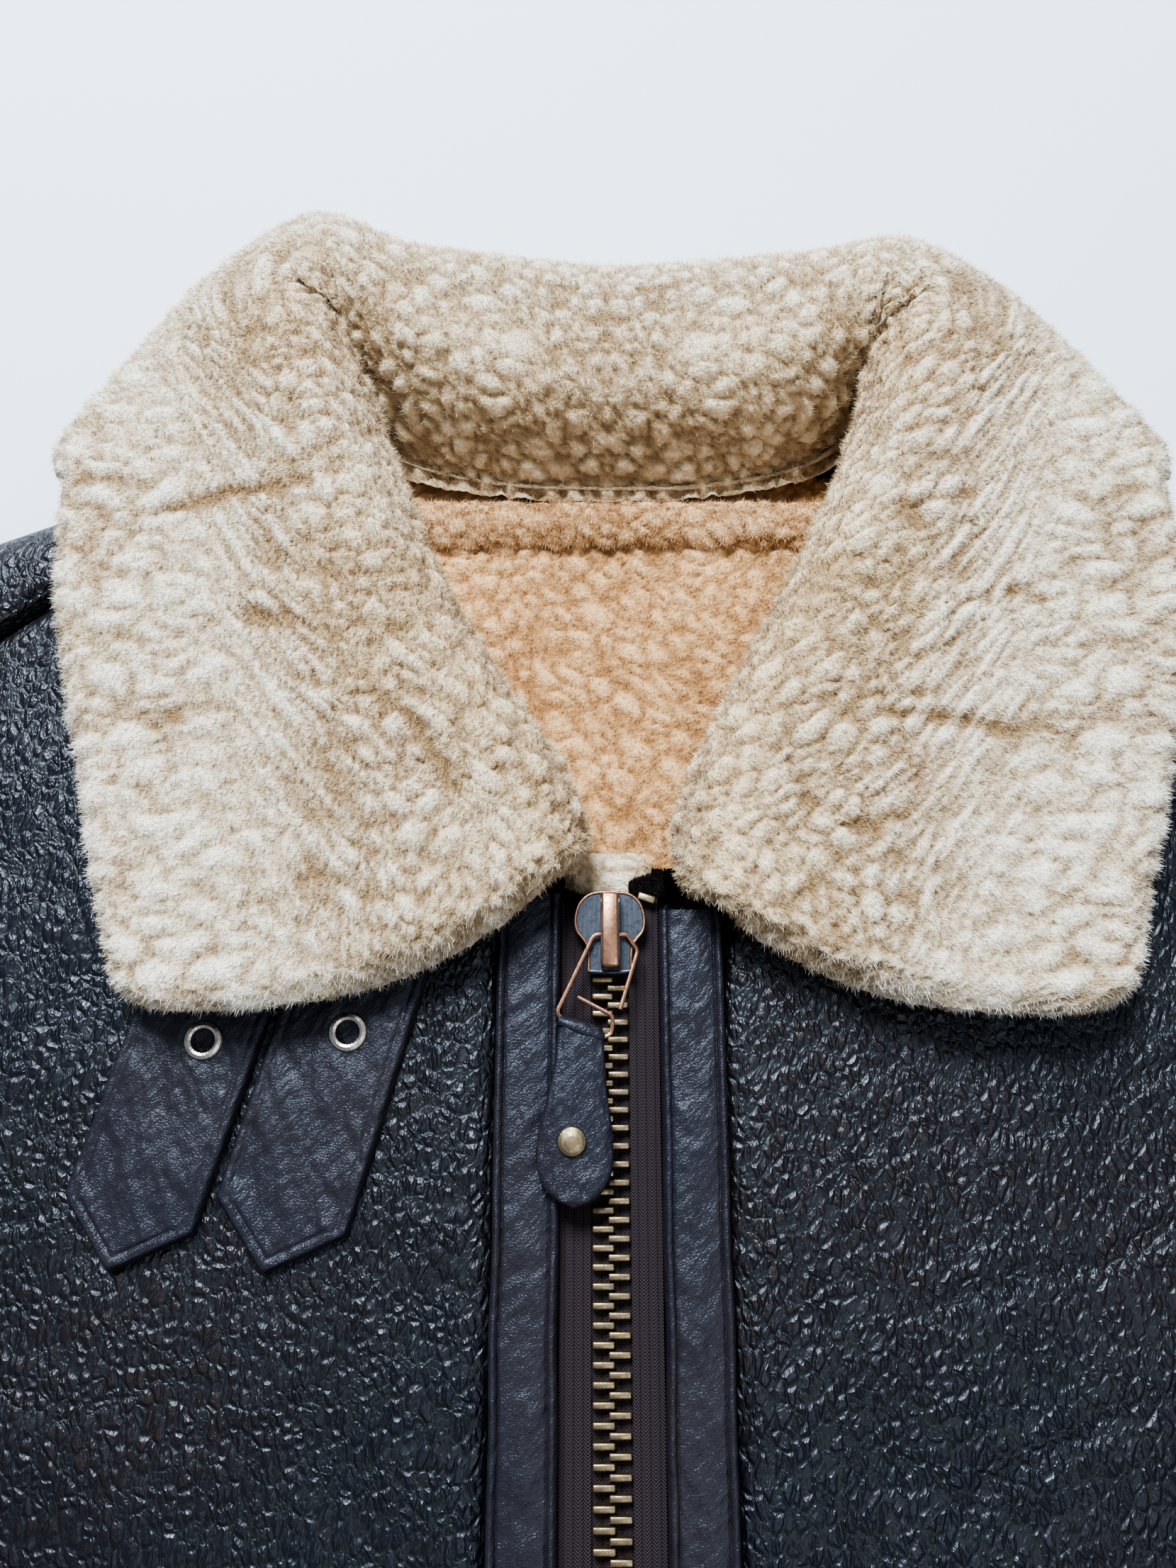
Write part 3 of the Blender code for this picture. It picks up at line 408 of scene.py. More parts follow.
def from_line(x, y, line):
    """The distance of each point from a polyline, positive on its left, and the nearest place."""
    nearest = np.full(x.shape, 1e9)
    along = np.zeros(x.shape)
    run = 0.0
    for (x0, y0), (x1, y1) in zip(line, line[1:]):
        length = np.hypot(x1 - x0, y1 - y0)
        ux, uy = (x1 - x0) / length, (y1 - y0) / length
        share = np.clip((x - x0) * ux + (y - y0) * uy, 0, length)
        aside = (y - y0) * ux - (x - x0) * uy
        gap = np.hypot(x - x0 - share * ux, y - y0 - share * uy)
        closer = gap < np.abs(nearest)
        nearest = np.where(closer, np.where(aside < 0, -gap, gap), nearest)
        along = np.where(closer, run + share, along)
        run += length
    return nearest, along / run


def folds_at(x, y, folds):
    """How far the soft folds raise the leather at each point."""
    raised = np.zeros(x.shape)
    for x0, y0, x1, y1, rise, half_width in folds:
        gap, _ = from_line(x, y, [(x0, y0), (x1, y1)])
        raised += rise * np.exp(-((gap / half_width) ** 2))
    return raised


def creases_at(x, y, creases):
    """Sharp creases that fade at their ends, each with a soft ridge along both sides."""
    raised = np.zeros(x.shape)
    for depth, width, line in creases:
        gap, along = from_line(x, y, line)
        fade = np.minimum(1, 4 * np.minimum(along, 1 - along) + 0.25)
        trough = np.exp(-((gap / width) ** 2))
        ridge = np.exp(-(((np.abs(gap) - 2.4 * width) / (1.6 * width)) ** 2))
        raised += depth * fade * (0.55 * ridge - trough)
    return raised


def sampled(points, size):
    """Smooth noise from -1 to 1 at each point of an array, for features of a size in millimetres."""
    flat = points.reshape(-1, 3) / size
    return np.array([noise.noise(Vector(spot)) for spot in flat]).reshape(points.shape[:-1])


def pebbles(points, size):
    """Rounded nodules of a size in millimetres: 1 at their middles and 0 in the crevices."""
    flat = points.reshape(-1, 3) / size
    near = np.array([noise.voronoi(Vector(spot))[0][:2] for spot in flat])
    return np.clip(near[:, 1] - near[:, 0], 0, 0.55).reshape(points.shape[:-1]) / 0.55


def sheet_mesh(name, points, looks, **attributes):
    """A skin on a grid of points (row, column, xyz) in millimetres, with its values by vertex."""
    rows, columns = points.shape[:2]
    grid = bmesh.new()
    bmesh.ops.create_grid(grid, x_segments=columns - 1, y_segments=rows - 1, size=0.5)
    mesh = bpy.data.meshes.new(name)
    grid.to_mesh(mesh)
    grid.free()
    flat = np.empty(len(mesh.vertices) * 3)
    mesh.vertices.foreach_get("co", flat)
    flat = flat.reshape(-1, 3)
    column = np.rint((flat[:, 0] + 0.5) * (columns - 1)).astype(int)
    row = np.rint((flat[:, 1] + 0.5) * (rows - 1)).astype(int)
    mesh.vertices.foreach_set("co", place(points[row, column]).ravel())
    for word, values in attributes.items():
        mesh.attributes.new(word, "FLOAT", "POINT").data.foreach_set("value", values[row, column])
    mesh.polygons.foreach_set("use_smooth", [True] * len(mesh.polygons))
    mesh.materials.append(looks)
    mesh.update()
    return in_scene(name, mesh)


def hemmed(points, low):
    """The grid with one more row or column round it that drops from its edges to a level."""
    framed = np.pad(points, ((1, 1), (1, 1), (0, 0)), mode="edge")
    for edge in (framed[0], framed[-1], framed[:, 0], framed[:, -1]):
        edge[:, 2] = low
    return framed


def seam_dip(distance):
    """How far leather sinks beside a seam."""
    return -SEAM_DEPTH * np.exp(-((distance / SEAM_WIDTH) ** 2))


def join_body(piece, *nodes, slot="leather"):
    """The piece rides on the jacket and stands for these CAD nodes. slot: not used."""
    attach(piece, "jacket")
    if nodes:
        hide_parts(*nodes)


# Leather panels.


def front_skin(side, neck, folds, creases):
    """The front panel of one side from hem to shoulder panel."""
    upper = []
    for share, (x, y) in zip(ARMHOLE_STEPS, neck):
        edge_x, edge_y = armhole(share)
        upper.append((x, y, edge_x - GAP, edge_y, 1 if share == 0 else 0))
    rows = np.vstack([smooth_rows(FRONT_LOWER_ROWS + upper[:1], 20), smooth_rows(upper, 16)[1:]])
    inner_x, inner_y, outer_x, outer_y, rounded = (rows[:, c, None] for c in range(5))
    rounded = np.clip(rounded, 0, 1)
    rounding = FRONT_HIGH - FRONT_LOW
    flat, turn = 118, 6
    width = outer_x - inner_x
    column = np.arange(flat + turn + 1)[None]
    angle = np.clip(column - flat, 0, None) / turn * pi / 2
    across = np.where(column < flat, column / flat * (1 - rounding / width),
                      1 - rounding * (1 - np.sin(angle)) / width)
    height = np.cos(angle)
    x = inner_x + width * across
    y = inner_y + (outer_y - inner_y) * across
    top = FRONT_LOW + LIP + (rounding - LIP) * (1 - rounded * (1 - height))
    shape = folds_at(x, y, folds) + creases_at(x, y, creases)
    shape += seam_dip(x - inner_x) + seam_dip(width * (1 - across)) * (1 - rounded)
    points = np.stack([x, y, top + shape * height], axis=2)
    points[..., 2] += seam_dip(np.abs(y - y[-1])) * (rows[:, 3, None] > -100)
    points[..., 2] += 0.7 * sampled(points, 23.0) + 0.35 * sampled(points, 9.0)
    points[..., 0] *= side
    return hemmed(points, FRONT_LOW)


def yoke_skin(side):
    """The shoulder panel, from its seam on the front to the shoulder line."""
    seam = [Vector((95.2, 121.6)), Vector((165.3, 75.0)), Vector(armhole(YOKE_ON_ARMHOLE))]
    seam[2] += Vector((-ARMHOLE_GAP, 0.6))
    shoulder = [Vector(SHOULDER_NECK), Vector((172.0, 103.0)), Vector(SHOULDER) - Vector((ARMHOLE_GAP, 0))]
    rows = smooth_rows([(*a, *b) for a, b in zip(seam, shoulder)], 36)
    rounding = FRONT_HIGH - FRONT_LOW
    flat, turn = 14, 8
    start, end = rows[:, None, :2], rows[:, None, 2:]
    width = np.linalg.norm(end - start, axis=2)
    turned = np.minimum(rounding, 0.7 * width)
    column = np.arange(flat + turn + 1)[None]
    angle = np.clip(column - flat, 0, None) / turn * pi / 2
    across = np.where(column < flat, column / flat * (1 - turned / width),
                      1 - turned * (1 - np.sin(angle)) / width)
    spot = start + (end - start) * across[..., None]
    z = FRONT_LOW + LIP + (rounding - LIP) * np.cos(angle) + seam_dip(across * width)
    ends = np.minimum(np.arange(len(rows)), np.arange(len(rows))[::-1])[:, None] * 2.1
    points = np.dstack([spot, z + seam_dip(ends)])
    points[..., 2] += 0.5 * sampled(points, 14.0) * np.cos(angle)
    points[..., 0] *= side
    return hemmed(points, FRONT_LOW)


def sleeve_skin(side, low, high, folds):
    """One layer of a sleeve. Both long edges are rounded on the side away from the other layer."""
    rows = smooth_rows(SLEEVE_ROWS, 22)
    inner, outer, bend = rows[:, None, :2], rows[:, None, 2:4], rows[:, 4, None]
    width = np.linalg.norm(outer - inner, axis=2)
    rounding = high - low
    flat, turn = 60, 7
    share = rounding / width
    column = np.arange(flat + 2 * turn + 1)[None]
    first = np.clip(turn - column, 0, None) / turn * pi / 2
    last = np.clip(column - turn - flat, 0, None) / turn * pi / 2
    across = share + np.clip(column - turn, 0, flat) / flat * (1 - 2 * share)
    across += share * (np.sin(last) - np.sin(first))
    height = np.cos(first) * np.cos(last)
    spot = inner + (outer - inner) * across[..., None]
    spot[..., 0] += ARMHOLE_GAP - 4 * bend * across * (1 - across)
    wall = LIP + (rounding - LIP) * height
    if folds:
        z = low + wall + folds_at(spot[..., 0], spot[..., 1], folds) * height
    else:
        z = high - wall + 0 * across
    points = np.dstack([spot, z])
    seam = seam_dip(np.arange(len(rows))[:, None] * 4.0) * height
    points[..., 2] += (seam + 0.8 * sampled(points, 26.0) * height) * (1 if folds else 0)
    points[..., 0] *= side
    return hemmed(points, low if folds else high)


def back_skin():
    """The underside of the back panel, its flat leather, turned up at the sides."""
    upper = []
    for share, middle_y, rise in BACK_MIDDLES:
        edge_x, edge_y = armhole(share)
        upper.append((edge_x - GAP, edge_y, middle_y, rise))
    rows = np.vstack([smooth_rows(BACK_LOWER_ROWS + upper[:1], 12), smooth_rows(upper, 14)[1:]])
    share = np.linspace(-1, 1, 97)[None]
    span = np.abs(share)
    high = (1 - span) / (1 - NECK_SHARE)
    low = np.clip((span - 0.2) / (NECK_SHARE - 0.2), 0, 1)
    bump = np.where(span > NECK_SHARE, high, low * low * (3 - 2 * low))
    outer_x, outer_y, middle_y, rise = (rows[:, c, None] for c in range(4))
    y = middle_y + (outer_y - middle_y) * span + rise * bump
    points = np.dstack([outer_x * share, y, np.full(y.shape, 0.2)])
    return hemmed(points, BACK_HIGH)


# Wool.


def grid_normals(points):
    """The unit normal at each point of a grid."""
    normals = np.cross(np.gradient(points, axis=0), np.gradient(points, axis=1))
    return normals / np.maximum(np.linalg.norm(normals, axis=2, keepdims=True), 1e-9)


def smooth_step(values, low, high):
    """0 up to low, 1 from high, and a smooth step from one to the other."""
    share = np.clip((values - low) / (high - low), 0, 1)
    return share * share * (3 - 2 * share)


def locks(along, across, long, wide, seed):
    """Rounded locks of wool on a surface: 1 at their middles and 0 in the crevices."""
    spots = np.stack([along / wide, across / long, np.full(along.shape, seed)], axis=2)
    return pebbles(spots, 1.0) ** 0.65


def wool_height(base, combed, crevices=()):
    """Height of the pile, 0 to about 1: nodules where it stands up, and long locks that point out to
    the free edge where it is combed flat."""
    step_across = np.linalg.norm(np.diff(base, axis=1, prepend=base[:, :1]), axis=2)
    step_along = np.linalg.norm(np.diff(base, axis=0, prepend=base[:1]), axis=2)
    across, along = np.cumsum(step_across, axis=1), np.cumsum(step_along, axis=0)
    wander = 3.2 * sampled(base, 17.0) + 1.1 * sampled(base + 40, 6.0)
    rows = along.mean(axis=1, keepdims=True) + wander
    along = along + wander
    across = across + 3.2 * sampled(base + 90, 19.0) + 1.1 * sampled(base + 130, 6.5)
    nodules = 0.58 * locks(along, across, 6.2, 6.2, 0.0) + 0.30 * locks(along, across, 3.1, 3.1, 4.0)
    tufts = 0.60 * locks(rows, across, 13.0, 6.0, 8.0) + 0.30 * locks(rows, across, 6.0, 3.2, 12.0)
    pile = nodules + (tufts + 0.06 - nodules) * combed
    pile += 0.13 * sampled(base, 30.0) + 0.07 * sampled(base, 2.2)
    stray_x, stray_y = 3.0 * sampled(base + 200, 9.0), 3.0 * sampled(base + 260, 9.0)
    # The crevices sink the pile, and with it the wool's colour goes over to its painted shade.
    for depth, width, line in crevices:
        gap, share = from_line(base[..., 0] + stray_x, base[..., 1] + stray_y, line)
        fade = np.minimum(1, 4 * np.minimum(share, 1 - share))
        pile -= 0.55 * depth * fade * np.exp(-((gap / (1.8 * width)) ** 2)) * (base[..., 2] > 26)
    return np.clip(pile, 0, 1.15)


# Painted shade and light on each blade: its two roots sit lower in the pile's colour ramp, in its painted
# shade, and its tip higher, towards the paler tips.
BLADE_PAINTED_SHADING = (-0.05, -0.05, 0.22)  # the pile's shade at a blade's two roots and its tip
BLADE_HALF, COMBED, WILD = 0.11, 0.8, 0.55  # half its width, and how far it leans with and off the comb


def fibres(name, looks, wool, comb, count, length):
    """Fine fibres that stand in wool. Each is one thin blade, from a random place on its grid."""
    points, normals, pile, warm = wool
    corner = points[:-1, :-1]
    cells = np.linalg.norm(np.cross(points[1:, :-1] - corner, points[:-1, 1:] - corner), axis=2)
    picked = chance.choice(cells.size, count, p=cells.ravel() / cells.sum())
    row, column = picked // cells.shape[1], picked % cells.shape[1]
    u, v = chance.random((2, count, 1))

    def between(grid):
        low = grid[row, column] * (1 - u) + grid[row + 1, column] * u
        return low * (1 - v) + (grid[row, column + 1] * (1 - u) + grid[row + 1, column + 1] * u) * v

    root, way = between(points), between(normals)
    way = way + (between(comb) * COMBED + chance.normal(size=(count, 3)) * WILD)
    way /= np.linalg.norm(way, axis=1, keepdims=True)
    side = np.cross(way, chance.normal(size=(count, 3)))
    side /= np.linalg.norm(side, axis=1, keepdims=True)
    reach = length * (0.55 + 0.75 * chance.random((count, 1)))
    root = root - way * 0.3
    side = side * BLADE_HALF
    spots = np.stack([root - side, root + side, root + way * reach], axis=1).reshape(-1, 3)
    spots[:, 2] = np.maximum(spots[:, 2], 0.1)
    mesh = bpy.data.meshes.new(name)
    mesh.from_pydata(place(spots).tolist(), [], np.arange(3 * count).reshape(-1, 3).tolist())
    # Each blade's pile, which picks its colour, is its place's pile with painted shade at the roots, paler
    # tips and a random tone.
    tone_and_shade = chance.normal(size=(count, 1)) * 0.10 + BLADE_PAINTED_SHADING
    values = {"pile": between(pile[..., None]) + tone_and_shade, "warm": between(warm[..., None]) + 0 * tone_and_shade}
    for word, by_corner in values.items():
        layer = mesh.attributes.new(word, "FLOAT", "POINT")
        layer.data.foreach_set("value", np.clip(by_corner, 0, 1).ravel())
    mesh.materials.append(looks)
    return in_scene(name, mesh)


def wool_patch(name, looks, base, pile, warm, rise, fibre_count, fibre_length, comb=(0.0, -1.0, 0.0)):
    """A wool surface over a grid whose rows run away from its front edge, raised by its pile, and
    the fibres on it."""
    shaped = base - grid_normals(base) * (rise * (pile - 0.6))[..., None]
    skin = sheet_mesh(name, shaped, looks, pile=pile, warm=warm)
    ways = np.broadcast_to(np.array(comb), shaped.shape)
    fur = fibres(f"{name}_fibres", looks, (shaped, -grid_normals(shaped), pile, warm), ways, fibre_count,
                 fibre_length)
    return skin, fur


# Collar.

RIM = 7.5  # how far from its edge the collar's wall starts to thin
LEAF_CORNER = 17.0  # radius of the leaf's outer corner


def rounded_path(corners, radius, steps=10):
    """A polyline through the corners with each corner turned into an arc."""
    path = [corners[0]]
    for before, corner, after in zip(corners, corners[1:], corners[2:]):
        back, on = before - corner, after - corner
        turn = pi - back.angle(on, pi)
        if turn < 0.02:
            path.append(corner)
            continue
        cut = min(radius * tan(turn / 2), 0.49 * min(back.length, on.length))
        middle = back.normalized() + on.normalized()
        centre = corner + middle.normalized() * cut / tan(turn / 2) / cos(turn / 2)
        start = corner + back.normalized() * cut - centre
        end = corner + on.normalized() * cut - centre
        arc = [start.slerp(end, step / steps) * start.length for step in range(steps + 1)]
        path += [centre + spoke for spoke in arc]
    path.append(corners[-1])
    return path


def collar_section(row, pulled_in, shares):
    """Points along the middle of the collar's wall, at shares of the way from seam to free edge."""
    seam_x, seam_y, seam_z, head_x, head_y, top, share, out_x, out_y, out_z, drop, tuck, bow = row
    seam, head = Vector((seam_x, seam_y)), Vector((head_x, head_y))
    way = (Vector((out_x, out_y)) - head).normalized()
    edge = Vector((out_x, out_y)) - way * (pulled_in + COLLAR_HALF_WALL * min(max(2 * drop, 0), 1))
    foot = seam.lerp(head, min(share, 1))
    under_z = out_z + (TUCKED_Z - out_z) * max(drop, 0)
    corners = [Vector((*seam, seam_z)), Vector((*foot, seam_z)),
               Vector((*head, top - COLLAR_HALF_WALL)), Vector((*edge, out_z))]
    if drop > 0.05:
        corners.append(Vector((*edge, under_z)))
    if tuck > 0.5:
        corners.append(Vector((*(edge - way * tuck), under_z)))
    path = np.array([tuple(point) for point in rounded_path(corners, 16)])
    run = np.concatenate([[0], np.cumsum(np.linalg.norm(np.diff(path, axis=0), axis=1))])
    points = np.stack([np.interp(shares * run[-1], run, path[:, axis]) for axis in range(3)], axis=1)
    reach = (edge - head).length
    along = np.clip(((points[:, :2] - np.array(head)) @ np.array(way)) / reach, 0, 1)
    points[:, 0] += way.y * bow * 4 * along * (1 - along)
    points[:, 1] -= way.x * bow * 4 * along * (1 - along)
    return points


def rim_shares(count, turn, length):
    """Shares of a length, even at first and bunched round the rim, and the wall left there."""
    rim = RIM / length
    angle = np.linspace(pi / 2, 0, turn + 1)[1:]
    shares = np.concatenate([np.linspace(0, 1 - rim, count), 1 - rim * (1 - np.cos(angle))])
    return shares, np.concatenate([np.ones(count), np.sin(angle)])


def collar_middle(table, row_count, column_count):
    """The middle of the collar's wall as a grid from the back's middle to the front end, and how
    much of the wall's thickness is left at each point of it."""
    rows = smooth_rows(table, 12)[::-1]
    outer = np.concatenate([[0], np.cumsum(np.linalg.norm(np.diff(rows[:, 7:9], axis=0), axis=1))])
    heads = np.concatenate([[0], np.cumsum(np.linalg.norm(np.diff(rows[:, 3:5], axis=0), axis=1))])
    run = 0.5 * (outer + heads)
    shares, wall_rows = rim_shares(row_count, 8, run[-1])
    at = shares * run[-1]
    rows = np.stack([np.interp(at, run, rows[:, c]) for c in range(rows.shape[1])], axis=1)
    left = np.clip(LEAF_CORNER - (outer[-1] - np.interp(at, run, outer)), 0, LEAF_CORNER)
    pulled_in = LEAF_CORNER - np.sqrt(LEAF_CORNER**2 - left**2)
    columns, wall_columns = rim_shares(column_count, 10, 130.0)
    middle = np.array([collar_section(row, pull, columns) for row, pull in zip(rows, pulled_in)])
    return middle, wall_rows[:, None] * wall_columns[None], columns


def make_collar(name, side, table, crevices):
    """The wool, fibres and leather of half the collar."""
    middle, wall, columns = collar_middle(table, 250, 132)
    base = middle + grid_normals(middle) * COLLAR_HALF_WALL * (1.5 * wall - 0.5)[..., None]
    base[..., 0] = np.maximum(base[..., 0], 0)
    base[0, :, 0] = 0
    normals = grid_normals(base)
    combed = smooth_step(columns, 0.50, 0.84)[None] + 0 * wall
    pile = wool_height(base, combed, crevices)
    stand = 1 - smooth_step(columns, 0.16, 0.36)
    roll = np.exp(-(((columns - 0.38) / 0.15) ** 2))
    warm = np.clip(np.clip(stand + 0.6 * roll, 0, 1)[None] + 0.25 * sampled(base, 45.0), 0, 1)
    rise = (3.6 - 0.6 * combed) * np.minimum(1, wall + 0.3)
    shaped = base + normals * (rise * (pile - 0.7))[..., None]
    comb = np.gradient(base, axis=1) + 0.25 * np.gradient(base, axis=0)
    comb /= np.maximum(np.linalg.norm(comb, axis=2, keepdims=True), 1e-9)
    for grid in (shaped, normals, comb):
        grid[..., 0] *= side
    shaped[..., 0] = side * np.maximum(side * shaped[..., 0], 0)
    shaped[0, :, 0] = 0
    shaped[..., 2] = np.maximum(shaped[..., 2], 0.1)
    turned = slice(None, None, -side)  # so that the faces of both halves point outwards
    wool = sheet_mesh(f"collar_wool_{name}", shaped[turned], WOOL, pile=pile[turned], warm=warm[turned])
    join_body(wool, f"collar_{name}", slot="wool")
    fur = fibres(f"collar_fibres_{name}", WOOL, (shaped, normals, pile, warm), comb, 125000, 2.1)
    join_body(fur, slot="wool")
    middle, wall, _ = collar_middle(table, 90, 50)
    skin = middle - grid_normals(middle) * COLLAR_HALF_WALL * (0.5 + 0.5 * wall)[..., None]
    skin[..., 0] = side * np.maximum(skin[..., 0], GAP / 2)
    skin[..., 2] = np.maximum(skin[..., 2], 0.2)
    skin = skin[:-6, :-7][::side]
    leather = sheet_mesh(f"collar_skin_{name}", skin, LEATHER)
    join_body(leather)


# The neck strip's section, (y, height).
NECK_STRIP_PROFILE = [(102.6, 13.4), (103.6, 16.2), (106.5, 18.4), (111, 19.4), (115, 18.4),
                      (117.5, 15.6), (118, 13.4)]


def make_linings():
    """The wool that shows inside the neck: the back's own, the neck strip and the wind flap."""
    across = np.linspace(-1, 1, 130)[None]
    y = np.arange(9.0, 131.0, 1.0)[:, None]
    half = np.interp(y, [9, 43, 80, 106, 130], [32, 50, 74, 84, 84])
    low = 14.5 - 6.5 * smooth_step(y, 113, 124) + 0 * across
    base = np.dstack([across * half, y + 0 * across, low])
    pile = wool_height(base, np.full(half.shape, 0.1))
    for piece in wool_patch("neck_lining", LINING, base, pile, 0 * pile + 0.5, 2.6, 40000, 1.6):
        join_body(piece, slot="wool")
    spots = smooth_rows(NECK_STRIP_PROFILE, 5)
    half = np.interp(spots[:, 0], [103, 118], [58, 66])[:, None]
    base = np.dstack([across * half, spots[:, :1] + 0 * across, spots[:, 1:] + 0 * across])
    pile = wool_height(base, np.full(half.shape, 0.2))
    strip, fur = wool_patch("neck_strip_wool", LINING, base, pile, 0 * pile, 2.2, 12000, 1.8)
    join_body(strip, "neck_strip", slot="wool")
    join_body(fur, slot="wool")
    y = np.concatenate([np.linspace(HEM_Y, -30, 60), np.linspace(-29, 13, 60)])[:, None]
    across = np.linspace(-1, 1, 30)[None]
    drop = 2.2 * np.clip(np.abs(across) - 0.8, 0, 1) / 0.2
    base = np.dstack([across * 11.7 + 0 * y, y + 0 * across, 16.3 - 1.5 * smooth_step(y, 9, 14) - drop])
    pile = wool_height(base, np.full(y.shape, 0.3))
    flap, fur = wool_patch("wind_flap_wool", WOOL, base, pile, 0 * pile + 0.3, 1.6, 12000, 2.2)
    join_body(flap, "wind_flap", slot="wool")
    join_body(fur, slot="wool")


# Zip, straps and metal.

TOOTH, TOOTH_X, TOOTH_Z = (5.2, 1.5, 3.6), 1.9, 23.2
TOOTH_PITCH, CHAIN_TOP = 4.2, -17.5
STRAP_HALF, STRAP_POINT, STRAP_TOP = 16.5, 13.5, 29.9
# Columns: name, tip, lean in degrees, length, eyelet (across, along).
STRAPS = [
    ("outer", (-117.0, -89.5), 15.8, 92.0, (3.0, 55.4)),
    ("inner", (-81.0, -90.0), 15.3, 96.0, (1.9, 57.5)),
]
# The strip's section, (x, height), with its two welts.
STRIP_PROFILE = [(12.4, 22), (12.5, 26.4), (12.9, 27.8), (13.6, 28.4), (14.4, 28.1), (14.9, 27.2),
                 (15.6, 27.5), (20.4, 27.9), (25.3, 27.5), (25.9, 27.1), (26.4, 27.9), (27.2, 28.4),
                 (27.9, 27.9), (28.3, 26.6), (28.4, 22)]
SLIDER_HALF = [(0, 0), (4.6, -0.4), (7.4, -2.6), (8.6, -6.2), (8.3, -9.6), (6.8, -11.6), (5.7, -13.4),
               (5.3, -16), (5.3, -19.8)]
# The worn ends of the tape. Columns: name, x from, x to, y from, y to.
TAPE_ENDS = [("right", 5.0, 13.5, -3.0, 3.5), ("left", -12.8, -5.0, -3.0, 1.2)]
# Rows down the pull's tab. Columns: y, left, right.
TAB_EDGES = [(-34.0, -12.7, -1.9), (-40, -13.4, -1.5), (-50, -15.2, -0.8), (-58, -17.4, 0.3),
             (-66, -17.6, 0.4), (-71, -15.7, -1.5), (-74, -12.6, -4.6), (-75.3, -9.2, -8.0)]


def blocks(name, spots, size, looks, bevel=0.35, turn=0.0):
    """Blocks of one size at each spot, with bevelled edges, in one mesh."""
    made = bmesh.new()
    for spot in spots:
        form = Matrix.Rotation(turn, 4, "Z") @ Matrix.Diagonal((*size, 1))
        bmesh.ops.create_cube(made, size=MM, matrix=Matrix.Translation(place(spot)) @ form)
    bmesh.ops.bevel(made, geom=made.edges[:], offset=bevel * MM, affect="EDGES", segments=2, profile=0.5,
                    material=-1)
    mesh = bpy.data.meshes.new(name)
    made.to_mesh(mesh)
    made.free()
    mesh.polygons.foreach_set("use_smooth", [True] * len(mesh.polygons))
    mesh.materials.append(looks)
    return in_scene(name, mesh)


def tube(name, line, radius, looks):
    """A round bead along a line of points, of one radius or one for each point."""
    radius = np.broadcast_to(radius, len(line))[:, None, None]
    line = np.array(line, float)
    ways = np.gradient(line, axis=0)
    ways /= np.linalg.norm(ways, axis=1, keepdims=True)
    aside = np.cross(ways, (0, 0, 1))
    turn = np.linspace(0, 2 * pi, 11)[None, :, None]
    spokes = np.cos(turn) * aside[:, None] + np.sin(turn) * np.array((0, 0, 1.0))
    return sheet_mesh(name, (line[:, None] + radius * spokes)[:, ::-1], looks)


def strip_skin(side, top):
    """The smooth strip beside the zip, with a rolled welt on each edge and slanting wrinkles."""
    profile = smooth_rows(STRIP_PROFILE, 3)
    y = np.linspace(top, HEM_Y, 620)[:, None]
    x = profile[None, :, 0] + 0.35 * sampled(np.dstack([0 * y, y, 0 * y]), 23.0)
    points = np.dstack([side * x, y + 0 * x, profile[None, :, 1] + 0 * y])
    inside = np.clip(np.minimum(x - 14.9, 25.9 - x) / 2.5, 0, 1)
    over = points[..., 0]
    slant = np.dstack([(over + side * 1.1 * y) * 1.5, over * 0.4 - side * y * 0.3, 0 * x])
    points[..., 2] += inside * (0.55 * sampled(slant, 6.5) + 0.30 * sampled(slant + 60, 3.1))
    return points if side > 0 else points[:, ::-1]


def strap_skin(tip, lean, length, hole):
    """A pointed strap with a stitched edge, slanting wrinkles and a sunk eyelet hole."""
    along = np.linspace(0.15, length, 150)[:, None]
    share = np.linspace(-1, 1, 70)[None]
    half = np.minimum(STRAP_HALF, STRAP_HALF * (along + 0.6) / STRAP_POINT)
    across = half * share
    edge = half * (1 - np.abs(share)) * np.where(along < STRAP_POINT, 0.63, 1.0)
    edge = np.minimum(edge, np.maximum(along, 0.4))
    seam = 0.55 * np.exp(-(((edge - 3.1) / 0.45) ** 2))
    z = STRAP_TOP - 2.4 * (1 - np.minimum(edge / 1.3, 1)) ** 2 - seam
    spot = np.dstack([(across + along) * 1.3, (along - across) * 0.45, 0 * z])
    z = z + np.clip(edge / 4, 0, 1) * (0.45 * sampled(spot, 9.0) + 0.2 * sampled(spot + 50, 4.0))
    gap = np.hypot(across - hole[0], along - hole[1])
    z = np.where(gap < 5.5, STRAP_TOP - 0.1, z)
    z = np.where(gap < 2.9, STRAP_TOP - 2.2, z)
    lean = radians(lean)
    x = tip[0] + sin(lean) * along + cos(lean) * across
    y = tip[1] + cos(lean) * along - sin(lean) * across
    return np.dstack([x, y, z])


